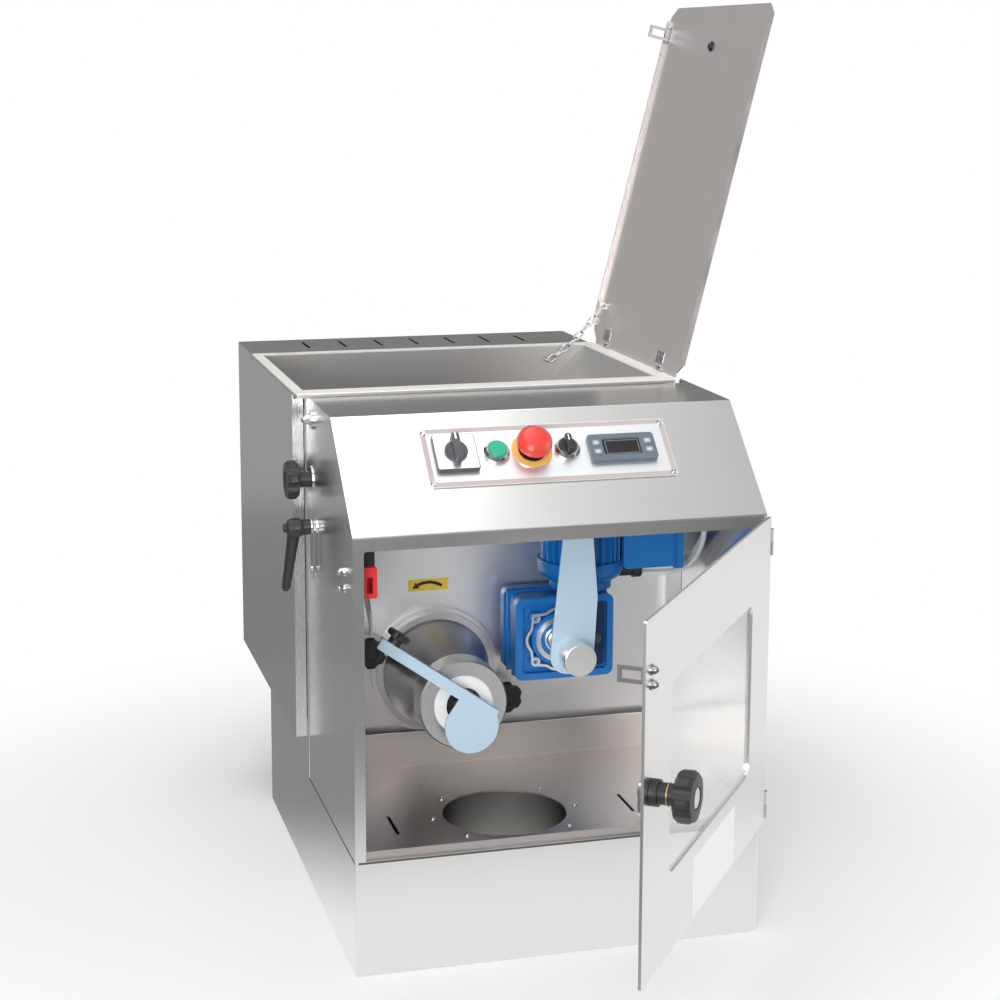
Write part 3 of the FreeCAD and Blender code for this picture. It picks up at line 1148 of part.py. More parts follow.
handle_nut = dome_nut(handle_at - V(0, 0, lid_sheet), V(0, 0, -1), 5, 4)
save("lid_handle", lifted(handle), lifted(handle_nut))

# Chain: oval links, each turned a quarter against the last, from the hopper wall to the lid
lid_eye_closed = V(lid_axis_x - chain_eye_at, chain_eye_y, lid_inner)
eye_turn = FreeCAD.Rotation(Y_AXIS, lid_lean)
lid_eye = lid_axis + eye_turn.multVec(lid_eye_closed - lid_axis)
lid_normal = eye_turn.multVec(V(0, 0, -1))
wire_radius = 1.1
link_hold = 1.13 * wire_radius
eye_half_length = 4.6
eye_half_width = 3.4
wall_eye_centre = chain_wall + V(0, 0.4 - eye_half_length, 0)
lid_eye_centre = lid_eye + lid_normal * (eye_half_length - 0.2)
lid_eye_bend = lid_eye_centre + lid_normal * (eye_half_length - eye_half_width)
link_count = 8
sag = 7.0


def oval_link(centre, along, side, half_length, half_width):
    """Closed oval of round wire; along is its long direction, side its broad direction."""
    straight = half_length - half_width
    a, b = along * straight, side * half_width
    tip = along * half_length
    wire = Part.Wire([Part.LineSegment(centre - a + b, centre + a + b).toShape(),
                      Part.Arc(centre + a + b, centre + tip, centre + a - b).toShape(),
                      Part.LineSegment(centre + a - b, centre - a - b).toShape(),
                      Part.Arc(centre - a - b, centre - tip, centre - a + b).toShape()])
    disc = Part.Wire(Part.Circle(centre + b, along, wire_radius).toShape())
    return wire.makePipeShell([disc], True, False)


def chain_line(start, end):
    """Points along the chain, with a shallow sag between its two ends."""
    points = []
    for k in range(link_count + 1):
        share = k / link_count
        points.append(start + (end - start) * share + V(0, 0, -4 * sag * share * (1 - share)))
    return points


links = []
chain_points = chain_line(wall_eye_centre + V(eye_half_width, 0, 0), lid_eye_bend)
first_pull = (chain_points[1] - chain_points[0]).normalize()
last_pull = (chain_points[-1] - chain_points[-2]).normalize()
chain_points = chain_line(wall_eye_centre + V(eye_half_width, 0, 0) - first_pull * link_hold,
                          lid_eye_bend - last_pull * (eye_half_width - link_hold))
for k in range(link_count):
    start, end = chain_points[k], chain_points[k + 1]
    along = (end - start).normalize()
    level = along.cross(Y_AXIS).normalize()
    broad = Y_AXIS if k % 2 else level
    broad = (broad - along * broad.dot(along)).normalize()
    spacing = (end - start).Length
    links.append(oval_link((start + end) * 0.5, along, broad, spacing / 2 + link_hold, 3.6))
save("lid_chain", *links)
eye_wall = oval_link(wall_eye_centre, Y_AXIS, X_AXIS, eye_half_length, eye_half_width)
eye_lid = oval_link(lid_eye_centre, lid_normal, eye_turn.multVec(X_AXIS), eye_half_length, eye_half_width)
save("hopper", join(hopper, lantern, eye_wall))
save("lid_panel", join(lifted(lid), eye_lid))
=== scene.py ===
from math import atan2, cos, pi, radians, sin

import bpy
from mathutils import Matrix, Vector


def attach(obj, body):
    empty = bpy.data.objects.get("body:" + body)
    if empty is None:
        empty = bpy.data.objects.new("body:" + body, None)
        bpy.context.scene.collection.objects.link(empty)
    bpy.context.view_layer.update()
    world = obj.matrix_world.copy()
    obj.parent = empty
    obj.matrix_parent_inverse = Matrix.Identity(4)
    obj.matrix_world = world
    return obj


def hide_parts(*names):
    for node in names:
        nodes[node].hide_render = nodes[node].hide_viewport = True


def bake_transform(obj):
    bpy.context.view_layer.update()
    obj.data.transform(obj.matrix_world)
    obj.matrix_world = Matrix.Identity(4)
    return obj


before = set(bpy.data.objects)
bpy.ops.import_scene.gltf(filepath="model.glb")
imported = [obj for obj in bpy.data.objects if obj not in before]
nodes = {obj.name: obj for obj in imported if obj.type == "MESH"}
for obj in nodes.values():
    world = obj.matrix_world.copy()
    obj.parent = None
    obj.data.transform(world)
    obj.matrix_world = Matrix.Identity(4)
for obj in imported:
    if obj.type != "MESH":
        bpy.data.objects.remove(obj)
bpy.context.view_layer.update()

# Metres. The origin lies on the ground under the middle of the plinth: X right, Y back, Z up.
HALF_DEPTH = 0.285
HALF_WIDTH = 0.235
DECK = 0.131
HOOD_HEIGHT = 0.470
SLANT_RUN = 0.119
SLANT_RISE = 0.110
WALL_FRONT = 0.275 - HALF_DEPTH
GEARBOX_FRONT = 0.1969 - HALF_DEPTH
LABEL_FACE = 0.0015
DOOR_SHEET = 0.0015
DOOR_HINGE = Vector((0.239, -0.002 - HALF_DEPTH, 0))
DOOR_TURN = Matrix.Rotation(radians(53.2), 4, "Z")
LID_HINGE = Vector((0.221, 0, 0.608))
LID_TURN = Matrix.Rotation(radians(104.1), 3, "Y")
LID_UNDER = 0.607
LID_HINGE_PLACES = (0.325 - HALF_DEPTH, 0.534 - HALF_DEPTH)


def facing_front(place):
    """Frame of an upright face: X right, Y up, Z out to the front."""
    return Matrix.Translation(Vector(place)) @ Matrix.Rotation(pi / 2, 4, "X")


# Frames for the pieces that lie on a face: X and Y along the face, Z out of it
ON_PANEL = (Matrix.Translation(Vector((0, SLANT_RUN - HALF_DEPTH, DECK + HOOD_HEIGHT)))
            @ Matrix.Rotation(atan2(SLANT_RISE, SLANT_RUN), 4, "X"))
ON_WALL = facing_front((0, WALL_FRONT, DECK))
ON_GEARBOX = facing_front((0.048, GEARBOX_FRONT, 0.310))
ON_DOOR = Matrix.Translation(DOOR_HINGE) @ DOOR_TURN @ facing_front((0, -DOOR_SHEET, DECK))
ON_LID = Matrix.Translation(LID_HINGE) @ LID_TURN.to_4x4() @ Matrix.Translation(-LID_HINGE)


def deselect():
    bpy.ops.object.select_all(action="DESELECT")


def place_camera():
    """The photograph's viewpoint: slightly to the left, a little above the hood."""
    azimuth, elevation, roll = radians(-15.47), radians(9.53), radians(0.19)
    back = Vector((sin(azimuth) * cos(elevation), -cos(azimuth) * cos(elevation), sin(elevation)))
    deselect()
    bpy.ops.object.camera_add(location=(-0.64853, -2.07476 - HALF_DEPTH, 0.86327 + DECK))
    camera = bpy.context.object
    camera.name = "photo_camera"
    camera.rotation_mode = "QUATERNION"
    level = (-back).to_track_quat("-Z", "Y")
    camera.rotation_quaternion = level @ Matrix.Rotation(roll, 3, "Z").to_quaternion()
    camera.data.sensor_width = 36.0
    camera.data.lens = 73.97
    camera.data.shift_y = -0.1
    camera.data.clip_start = 0.05
    camera.data.clip_end = 60
    bpy.context.scene.camera = camera


# The middle lead's turns, in millimetres from the gland; the others run a step beside it
LEAD_RADIUS = 0.003
LEAD_START = Vector((0.170, 0.240 - HALF_DEPTH, 0.375))
LEAD_TURNS = [(17, 0, 0), (36, -5, 0), (49.5, -22, 8), (52, -50, 24), (50, -80, 48),
              (44, -108, 74), (30, -130, 97), (14, -144, 112), (1, -149, 119)]
LEAD_STEP = Vector((0.0025, 0.0036, 0.0056))
LEAD_STEPS = {"low": -1, "middle": 0, "high": 1}


def draw_lead(name, step):
    """One motor lead: straight out of the gland, round behind the column, up into the electrics."""
    shift = LEAD_STEP * step
    points = [LEAD_START + Vector((0, shift.y, shift.z))]
    points += [LEAD_START + shift + Vector(turn) / 1000 for turn in LEAD_TURNS]
    curve = bpy.data.curves.new(name, "CURVE")
    curve.dimensions = "3D"
    curve.bevel_depth = 1.0
    curve.bevel_resolution = 5
    curve.resolution_u = 10
    curve.use_fill_caps = True
    line = curve.splines.new("NURBS")
    line.points.add(len(points) - 1)
    for index, point in enumerate(points):
        line.points[index].co = (*point, 1)
        line.points[index].radius = LEAD_RADIUS
    line.order_u = 3
    line.use_endpoint_u = True
    lead = bpy.data.objects.new(name, curve)
    bpy.context.collection.objects.link(lead)
    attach(lead, "frame")
    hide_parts("motor_leads")
    return lead


place_camera()
leads = [draw_lead("motor_lead_" + side, step) for side, step in LEAD_STEPS.items()]


# Shader nodes
def add_node(tree, kind, **settings):
    """One shader node, with its settings."""
    node = tree.nodes.new("ShaderNode" + kind)
    for label, value in settings.items():
        setattr(node, label, value)
    return node


def feed(tree, node, label, value):
    """Link a socket to one input of a node, or give the input a plain value."""
    if isinstance(value, bpy.types.NodeSocket):
        tree.links.new(value, node.inputs[label])
    else:
        node.inputs[label].default_value = value


def arithmetic(tree, operation, first, second):
    """One step on two values, each a socket or a plain number."""
    node = add_node(tree, "Math", operation=operation)
    feed(tree, node, 0, first)
    feed(tree, node, 1, second)
    return node.outputs[0]


def vector_step(tree, operation, first, second=None):
    """One step on one or two vectors; lengths and dot products give a single value."""
    node = add_node(tree, "VectorMath", operation=operation)
    feed(tree, node, 0, first)
    if second is not None:
        feed(tree, node, 1, second)
    return node.outputs["Value" if operation in ("LENGTH", "DOT_PRODUCT") else "Vector"]


def ramp(tree, source, low, high, at_low, at_high):
    """Smooth step of one value, from at_low to at_high."""
    node = add_node(tree, "MapRange", interpolation_type="SMOOTHSTEP")
    limits = {"From Min": low, "From Max": high, "To Min": at_low, "To Max": at_high}
    for label, value in limits.items():
        node.inputs[label].default_value = value
    tree.links.new(source, node.inputs["Value"])
    return node.outputs["Result"]


def mix_shaders(tree, share, first, second):
    """The first shader, giving way to the second where the share is 1."""
    node = add_node(tree, "MixShader")
    tree.links.new(share, node.inputs["Fac"])
    tree.links.new(first, node.inputs[1])
    tree.links.new(second, node.inputs[2])
    return node.outputs[0]


# Soft boxes: name, place, target, width, height, watts
SOFT_BOXES = (
    ("front_soft_box", (-0.9, -2.9, 2.3), (0, 0, 0.45), 2.2, 2.2, 30),
    ("overhead_soft_box", (-0.5, 0.1, 3.2), (0, 0, 0.4), 2.4, 2.4, 34),
    ("right_soft_box", (2.8, -0.9, 1.3), (0, 0, 0.4), 1.8, 1.8, 20),
    ("low_left_panel", (-1.45, -3.0, 0.72), (0.1, 0.0, 0.35), 1.3, 0.8, 46),
)


def place_light(name, position, target, width, height, watts):
    """Rectangular soft box, aimed at a point."""
    deselect()
    bpy.ops.object.light_add(type="AREA", location=position)
    lamp = bpy.context.object
    lamp.name = name
    lamp.rotation_mode = "QUATERNION"
    lamp.rotation_quaternion = (Vector(target) - Vector(position)).to_track_quat("-Z", "Y")
    lamp.data.shape = "RECTANGLE"
    lamp.data.size = width
    lamp.data.size_y = height
    lamp.data.energy = watts


def light_studio():
    """Soft boxes in a pale surround, which metal mirrors as bright above and on the right."""
    for soft_box in SOFT_BOXES:
        place_light(*soft_box)
    bpy.context.scene.view_settings.view_transform = "Standard"
    world = bpy.data.worlds.new("pale_studio")
    bpy.context.scene.world = world
    world.use_nodes = True
    tree = world.node_tree
    tree.nodes.clear()
    fill = add_node(tree, "Background")
    fill.inputs["Color"].default_value = (0.96, 0.98, 1.0, 1)
    fill.inputs["Strength"].default_value = 0.5
    backdrop = add_node(tree, "Background")
    backdrop.inputs["Color"].default_value = (1, 1, 1, 1)
    # What metal mirrors, by the direction of the mirrored ray
    split = add_node(tree, "SeparateXYZ")
    feed(tree, split, 0, add_node(tree, "TexCoord").outputs["Generated"])
    across, along, up = (split.outputs[axis] for axis in "XYZ")
    behind = ramp(tree, across, low=-0.34, high=0.20, at_low=0.52, at_high=0.25)
    right = ramp(tree, across, low=0.38, high=0.75, at_low=0.0, at_high=0.92)
    ceiling = ramp(tree, up, low=0.42, high=0.86, at_low=0.0, at_high=1.0)
    dimmer_right = ramp(tree, across, low=0.29, high=0.41, at_low=1.0, at_high=0.6)
    above = arithmetic(tree, "MULTIPLY", ceiling, dimmer_right)
    front = ramp(tree, along, low=-0.95, high=-0.45, at_low=0.34, at_high=0.0)
    tone = arithmetic(tree, "MAXIMUM", arithmetic(tree, "MAXIMUM", behind, right),
                      arithmetic(tree, "MAXIMUM", above, front))
    surround = add_node(tree, "Background")
    feed(tree, surround, "Strength", tone)
    seen = add_node(tree, "LightPath").outputs
    mirrored = mix_shaders(tree, seen["Is Glossy Ray"], fill.outputs[0], surround.outputs[0])
    direct = arithmetic(tree, "MAXIMUM", seen["Is Camera Ray"], seen["Is Transmission Ray"])
    shown = mix_shaders(tree, direct, mirrored, backdrop.outputs[0])
    feed(tree, add_node(tree, "OutputWorld"), "Surface", shown)


def lay_floor():
    """White floor: it holds the shadow, fades to the backdrop, and is mirrored dimmer far out."""
    deselect()
    bpy.ops.mesh.primitive_circle_add(vertices=96, radius=2.2, fill_type="NGON",
                                      location=(0, 0, -0.0005))
    floor = bpy.context.object
    floor.name = "studio_floor"
    material = bpy.data.materials.new("white_floor")
    material.use_nodes = True
    tree = material.node_tree
    shader = tree.nodes["Principled BSDF"]
    shader.inputs["Base Color"].default_value = (0.93, 0.93, 0.93, 1)
    shader.inputs["Roughness"].default_value = 0.7
    shader.inputs["Specular IOR Level"].default_value = 0.2
    place = add_node(tree, "TexCoord").outputs["Object"]
    flat = vector_step(tree, "MULTIPLY", place, (1, 1, 0))
    # What metal mirrors: dimmer away from the plinth and to the back left, bright on the right
    past = vector_step(tree, "SUBTRACT", vector_step(tree, "ABSOLUTE", flat),
                       (HALF_WIDTH, HALF_DEPTH, 0))
    gap = vector_step(tree, "LENGTH", vector_step(tree, "MAXIMUM", past, (0, 0, 0)))
    slope = vector_step(tree, "DOT_PRODUCT", flat, (-0.6, 1, 0))
    split = add_node(tree, "SeparateXYZ")
    feed(tree, split, 0, flat)
    near = ramp(tree, gap, low=0.20, high=0.70, at_low=0.95, at_high=0.24)
    back_left = ramp(tree, slope, low=-0.05, high=0.45, at_low=0.95, at_high=0.27)
    right = ramp(tree, split.outputs["X"], low=0.42, high=0.75, at_low=0.0, at_high=0.92)
    mirror_tone = arithmetic(tree, "MAXIMUM", arithmetic(tree, "MINIMUM", near, back_left), right)
    mirrored = add_node(tree, "Emission")
    feed(tree, mirrored, "Strength", mirror_tone)
    seen = add_node(tree, "LightPath").outputs
    away = vector_step(tree, "LENGTH", flat)
    far = ramp(tree, away, low=0.45, high=1.05, at_low=0.0, at_high=1.0)
    faded = arithmetic(tree, "MULTIPLY", far, seen["Is Camera Ray"])
    white = add_node(tree, "Emission")
    distant = mix_shaders(tree, faded, shader.outputs[0], white.outputs[0])
    shown = mix_shaders(tree, seen["Is Glossy Ray"], distant, mirrored.outputs[0])
    feed(tree, tree.nodes["Material Output"], "Surface", shown)
    floor.data.materials.append(material)


# Surface effects that several materials share
EFFECT_OUTPUTS = [("Colour", "Color"), ("Roughness", "Float"), ("Normal", "Vector")]


def new_group(name, inputs, outputs):
    """Empty node group, with its inputs' sockets and the node that takes its outputs."""
    group = bpy.data.node_groups.new(name, "ShaderNodeTree")
    for label, kind, value in inputs:
        socket = group.interface.new_socket(label, in_out="INPUT",
                                            socket_type="NodeSocket" + kind)
        socket.default_value = value
    for label, kind in outputs:
        group.interface.new_socket(label, in_out="OUTPUT", socket_type="NodeSocket" + kind)
    return group, group.nodes.new("NodeGroupInput").outputs, group.nodes.new("NodeGroupOutput")


def noise(tree, place, scale, detail, roughness=0.5):
    node = add_node(tree, "TexNoise")
    feed(tree, node, "Vector", place)
    feed(tree, node, "Scale", scale)
    feed(tree, node, "Detail", detail)
    feed(tree, node, "Roughness", roughness)
    return node.outputs["Fac"]


def spread_pattern(group, entry, leave, pattern, roughness, distance):
    """Let one pattern vary the colour and the roughness, and raise the surface by a distance."""
    centred = arithmetic(group, "SUBTRACT", pattern, 0.5)
    amount = arithmetic(group, "MULTIPLY", centred, entry["Contrast"])
    shade = add_node(group, "VectorMath", operation="SCALE")
    feed(group, shade, 0, entry["Colour"])
    feed(group, shade, "Scale", arithmetic(group, "ADD", amount, 1.0))
    bump = add_node(group, "Bump")
    feed(group, bump, "Distance", distance)
    feed(group, bump, "Strength", entry["Depth"])
    feed(group, bump, "Height", pattern)
    feed(group, leave, "Colour", shade.outputs[0])
    feed(group, leave, "Roughness", arithmetic(group, "ADD", roughness, amount))
    feed(group, leave, "Normal", bump.outputs["Normal"])
    return group


def make_grain():
    """Fine parallel scratches of brushed or rolled sheet, with slow cloudy variation."""
    group, entry, leave = new_group(
        "sheet_grain",
        [("Stretch", "Vector", (1, 1, 1)), ("Colour", "Color", (0.7, 0.7, 0.7, 1)),
         ("Roughness", "Float", 0.3), ("Contrast", "Float", 0.1), ("Depth", "Float", 0.1)],
        EFFECT_OUTPUTS)
    place = add_node(group, "TexCoord").outputs["Object"]
    stretched = vector_step(group, "MULTIPLY", place, entry["Stretch"])
    scratches = noise(group, stretched, scale=1.0, detail=4.0, roughness=0.65)
    cloudy = add_node(group, "MapRange")
    feed(group, cloudy, "Value", noise(group, place, scale=5.0, detail=3.0))
    feed(group, cloudy, "To Min", -0.04)
    feed(group, cloudy, "To Max", 0.06)
    roughness = arithmetic(group, "ADD", entry["Roughness"], cloudy.outputs["Result"])
    return spread_pattern(group, entry, leave, scratches, roughness, distance=0.0002)


def make_speckle():
    """Fine pores and mottling of cast, moulded, blasted and painted surfaces."""
    group, entry, leave = new_group(
        "fine_speckle",
        [("Colour", "Color", (0.5, 0.5, 0.5, 1)), ("Roughness", "Float", 0.5),
         ("Size", "Float", 0.002), ("Contrast", "Float", 0.1), ("Depth", "Float", 0.2)],
        EFFECT_OUTPUTS)
    place = add_node(group, "TexCoord").outputs["Object"]
    density = arithmetic(group, "DIVIDE", 1.0, entry["Size"])
    pores = noise(group, place, scale=density, detail=3.0)
    return spread_pattern(group, entry, leave, pores, entry["Roughness"], distance=0.0003)


def make_beyond():
    """Mask of the part of a piece that lies beyond a limit along one direction."""
    group, entry, leave = new_group(
        "beyond_limit", [("Direction", "Vector", (0, 0, 1)), ("Limit", "Float", 0.0)],
        [("Mask", "Float")])
    place = add_node(group, "TexCoord").outputs["Object"]
    reach = vector_step(group, "DOT_PRODUCT", place, entry["Direction"])
    feed(group, leave, "Mask", arithmetic(group, "GREATER_THAN", reach, entry["Limit"]))
    return group


light_studio()
lay_floor()
grain = make_grain()
speckle = make_speckle()
beyond = make_beyond()


# Materials
def finish_material(name, group, values, metallic=0.0, **sockets):
    """One material: the shared effect feeds colour, roughness and normal of its own shader."""
    material = bpy.data.materials.new(name)
    material.use_nodes = True
    tree = material.node_tree
    shader = tree.nodes["Principled BSDF"]
    effect = add_node(tree, "Group", node_tree=group)
    for label, value in values.items():
        effect.inputs[label].default_value = value
    feed(tree, shader, "Base Color", effect.outputs["Colour"])
    feed(tree, shader, "Roughness", effect.outputs["Roughness"])
    feed(tree, shader, "Normal", effect.outputs["Normal"])
    shader.inputs["Metallic"].default_value = metallic
    for label, value in sockets.items():
        shader.inputs[label.replace("_", " ")].default_value = value
    return material


def steel(name, tone, roughness, stretch, contrast, depth):
    """Bare metal sheet; the stretch is the grain's fineness along X, Y and Z."""
    values = {"Stretch": stretch, "Colour": (*tone, 1), "Roughness": roughness,
              "Contrast": contrast, "Depth": depth}
    return finish_material(name, grain, values, metallic=1.0)


def coat(name, tone, roughness, size, contrast, depth, **sockets):
    """Paint, plastic or cast metal; the size is that of its pores."""
    values = {"Colour": (*tone, 1), "Roughness": roughness, "Size": size,
              "Contrast": contrast, "Depth": depth}
    return finish_material(name, speckle, values, **sockets)


def finish_beyond(material, direction, limit, tone, socket=None):
    """Give a piece its own colour beyond a limit, and make it metal or rougher there if asked."""
    tree = material.node_tree
    shader = tree.nodes["Principled BSDF"]
    mask = add_node(tree, "Group", node_tree=beyond)
    mask.inputs["Direction"].default_value = direction
    mask.inputs["Limit"].default_value = limit
    beyond_it = mask.outputs["Mask"]
    plain = shader.inputs["Base Color"].links[0].from_socket
    colour = add_node(tree, "Mix", data_type="RGBA")
    colour.inputs["B"].default_value = (*tone, 1)
    tree.links.new(beyond_it, colour.inputs["Factor"])
    tree.links.new(plain, colour.inputs["A"])
    tree.links.new(colour.outputs["Result"], shader.inputs["Base Color"])
    if socket == "Metallic":
        tree.links.new(beyond_it, shader.inputs["Metallic"])
    elif socket == "Roughness":
        rougher = ramp(tree, beyond_it, low=0.0, high=1.0, at_low=0.46, at_high=0.66)
        tree.links.new(rougher, shader.inputs["Roughness"])
    return material


LENGTHWAYS = (25, 900, 900)
UPRIGHT = (900, 900, 18)
DEPTHWAYS = (900, 25, 900)
LID_SHEET = {"tone": (0.82, 0.77, 0.755), "roughness": 0.36, "stretch": (22, 900, 22),
             "contrast": 0.20, "depth": 0.12}
BLUE_PAINT = {"tone": (0.004, 0.165, 0.51), "roughness": 0.34, "size": 0.0035,
              "contrast": 0.10, "depth": 0.30, "Coat_Weight": 0.25, "Coat_Roughness": 0.2}
RED_PLASTIC = {"tone": (0.62, 0.025, 0.022), "roughness": 0.35, "size": 0.0012,
               "contrast": 0.12, "depth": 0.12}

# Bare sheet and turned steel: name, tone, roughness, stretch, contrast, depth
bright_sheet = steel("bright_steel_sheet", (0.80, 0.80, 0.79), 0.22, LENGTHWAYS, 0.06, 0.04)
upright_sheet = steel("upright_brushed_sheet", (0.72, 0.72, 0.71), 0.26, UPRIGHT, 0.10, 0.05)
door_sheet = steel("door_steel_sheet", (0.80, 0.79, 0.78), 0.24, UPRIGHT, 0.06, 0.04)
lid_sheet = steel("lid_brushed_sheet", **LID_SHEET)
satin_sheet = steel("satin_steel_sheet", (0.62, 0.61, 0.60), 0.36, LENGTHWAYS, 0.16, 0.08)
# The wall's sheet is painted brighter than the other sheets: painted light on the chamber's wall
brightened_wall_sheet = steel("satin_wall_sheet_painted_bright", (0.93, 0.92, 0.93), 0.36, UPRIGHT, 0.12, 0.06)
chute_sheet = steel("bright_rolled_chute", (0.46, 0.45, 0.44), 0.20, UPRIGHT, 0.10, 0.05)
turned = steel("turned_steel", (0.90, 0.89, 0.88), 0.34, (300, 1400, 300), 0.10, 0.06)
machined = steel("machined_alloy", (0.90, 0.91, 0.92), 0.42, (700, 700, 700), 0.10, 0.05)
polished = steel("polished_steel", (0.60, 0.60, 0.60), 0.15, (400, 400, 400), 0.05, 0.02)
key_steel = steel("pressed_key_steel", (0.36, 0.36, 0.37), 0.30, (500, 500, 500), 0.14, 0.05)
label_face = steel("label_plate_face", (0.86, 0.87, 0.89), 0.42, LENGTHWAYS, 0.04, 0.02)
silver_face = steel("silver_switch_face", (0.86, 0.86, 0.87), 0.30, (900, 900, 900), 0.03, 0.01)

# Cast metal, paint, plastic and print: name, tone, roughness, size, contrast, depth
cast_alloy = coat("bead_blasted_alloy", (0.68, 0.68, 0.69), 0.31, 0.0012, 0.18, 0.18, metallic=1.0)
brass = coat("brass_ring", (0.62, 0.46, 0.20), 0.28, 0.002, 0.10, 0.05, metallic=1.0)
blue_cast = coat("blue_cast_paint", **BLUE_PAINT)
# Near-black blue for the plate of painted shade in the gearbox's recess
recess_shade_blue = coat("painted_recess_shade_blue", (0.003, 0.030, 0.105), 0.55, 0.0035, 0.10, 0.20)
pale_paint = coat("pale_blue_paint", (0.456, 0.597, 0.716), 0.45, 0.003, 0.04, 0.06)
black_moulding = coat("black_moulding", (0.022, 0.022, 0.024), 0.42, 0.0009, 0.30, 0.20)
dark_grey = coat("dark_grey_moulding", (0.075, 0.078, 0.083), 0.40, 0.0012, 0.20, 0.15)
white_moulding = coat("white_moulding", (0.86, 0.86, 0.85), 0.42, 0.002, 0.04, 0.06)
sheath = coat("white_cable_sheath", (0.80, 0.80, 0.80), 0.40, 0.004, 0.08, 0.08)
red_housing = coat("red_switch_housing", **RED_PLASTIC)
stop_red = coat("stop_button_red", (0.72, 0.055, 0.040), 0.28, 0.004, 0.04, 0.04)
start_green = coat("start_button_green", (0.018, 0.40, 0.26), 0.30, 0.003, 0.04, 0.04)
grey_case = coat("controller_grey", (0.127, 0.156, 0.19), 0.42, 0.001, 0.10, 0.12)
key_grey = coat("controller_key_grey", (0.40, 0.43, 0.47), 0.40, 0.001, 0.06, 0.06)
display_dark = coat("dark_display", (0.014, 0.012, 0.012), 0.16, 0.003, 0.10, 0.02)
pale_cap = coat("pale_grey_cap", (0.60, 0.61, 0.63), 0.35, 0.002, 0.05, 0.04)
warning_yellow = coat("signal_yellow", (0.83, 0.50, 0.12), 0.5, 0.003, 0.04, 0.03)
sticker_yellow = coat("arrow_sticker_yellow", (0.95, 0.66, 0.06), 0.45, 0.003, 0.04, 0.03)
sticker_white = coat("blank_sticker_white", (0.88, 0.88, 0.87), 0.5, 0.003, 0.03, 0.03)
ink_black = coat("printed_black", (0.02, 0.02, 0.02), 0.5, 0.002, 0.05, 0.02)
border_tan = coat("printed_border", (0.50, 0.43, 0.41), 0.5, 0.002, 0.05, 0.02)
# Dark colour of the plinth's joint strips: painted shade of the gap between plinth and hood
joint_gap_shade = coat("joint_gap_painted_shade", (0.060, 0.056, 0.058), 0.5, 0.002, 0.12, 0.06)

# Pieces with a second finish: the gearbox's machined rings, the hopper's rim as a painted
# highlight, the floor's upstand as a painted reflection, the fold at the lid's hinge as painted
# shade, and the switch's black top
blue_and_cut = finish_beyond(
    coat("blue_casting_with_cut_rings", **BLUE_PAINT),
    direction=(0, -1, 0), limit=0.1018, tone=(0.90, 0.91, 0.92), socket="Metallic")
# The hopper's rim is lighter and rougher: a painted highlight along its fold
hopper_with_highlit_rim = finish_beyond(
    coat("blasted_hopper_with_highlit_rim", (0.58, 0.57, 0.56), 0.46, 0.0016, 0.35, 0.25,
         metallic=1.0),
    direction=(0, 0, 1), limit=0.6044, tone=(0.93, 0.91, 0.89), socket="Roughness")
# The floor's upstand is painted lighter than the floor: a painted reflection
floor_and_painted_upstand = finish_beyond(
    steel("worn_floor_sheet", (0.50, 0.465, 0.45), 0.30, DEPTHWAYS, 0.22, 0.10),
    direction=(0, 1, 0), limit=0.2595 - HALF_DEPTH, tone=(0.86, 0.81, 0.78))
# The fold at the lid's hinge is painted darker than the lid: painted shade that dulls its
# reflection
lid_and_shaded_fold = finish_beyond(
    steel("lid_sheet_with_painted_shade_fold", **LID_SHEET),
    direction=(0, 1, 0), limit=0.3073, tone=(0.42, 0.40, 0.39))
red_and_black = finish_beyond(
    coat("red_switch_with_black_top", **RED_PLASTIC),
    direction=(0, 0, 1), limit=DECK + 0.3223, tone=(0.02, 0.02, 0.022))

# Clear acrylic, a little grey, with faint wipe marks in its gloss
acrylic = coat("clear_acrylic", (0.93, 0.95, 0.96), 0.04, 0.03, 0.03, 0.02,
               Transmission_Weight=0.82, IOR=1.45)

finishes = (
    (bright_sheet, "base_plinth hood_shell"),
    (upright_sheet, "rear_casing"),
    (door_sheet, "door_panel"),
    (floor_and_painted_upstand, "floor_plate"),
    (chute_sheet, "drop_chute"),
    (brightened_wall_sheet, "dividing_wall"),
    (satin_sheet, "rear_floor electrics_tray gauge_strip"),
    (hopper_with_highlit_rim, "hopper"),
    (lid_and_shaded_fold, "lid_panel"),
    (turned, "feed_barrel feed_screw knife_shaft"),
    (cast_alloy, "nozzle_cone nozzle_collar"),
    (white_moulding, "nozzle_insert"),
    (black_moulding, "nozzle_knob_left nozzle_knob_right side_knob gauge_knob door_knob"),
    (black_moulding, "lid_handle clamp_lever cable_gland selector_knob"),
    (blue_and_cut, "knife_gearbox"),
    (blue_cast, "knife_motor knife_terminal_box feed_gearbox feed_motor"),
    (machined, "knife_gear_flange"),
    (sheath, "motor_leads"),
    (pale_paint, "knife_blade gauge_arm"),
    (polished, "hanging_ring side_fasteners panel_screws button_bezels"),
    (polished, "door_hinges latch_tongue lid_chain"),
    (key_steel, "door_key lid_hinges lid_key"),
    (red_and_black, "door_switch"),
    (red_housing, "lid_switch"),
    (label_face, "label_plate"),
    (dark_grey, "main_switch_plate main_switch_knob"),
    (start_green, "start_button"),
    (stop_red, "estop_stem estop_button"),
    (grey_case, "controller_body"),
    (key_grey, "controller_key_1 controller_key_2 controller_key_3 controller_key_4"),
    (acrylic, "door_window"),
)
for material, worn_by in finishes:
    for name in worn_by.split():
        nodes[name].data.materials.clear()
        nodes[name].data.materials.append(material)
for lead in leads:
    lead.data.materials.append(sheath)


# Modelling
def settle(piece, name, material, body, place=None):
    """Put a finished piece in place, with its place in its mesh, and hand it to its body."""
    piece.name = name
    if place is not None:
        piece.matrix_world = place @ piece.matrix_world
    deselect()
    piece.select_set(True)
    bpy.context.view_layer.objects.active = piece
    bpy.ops.object.transform_apply(location=True, rotation=True, scale=True)
    piece.data.materials.clear()
    piece.data.materials.append(material)
    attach(piece, body)


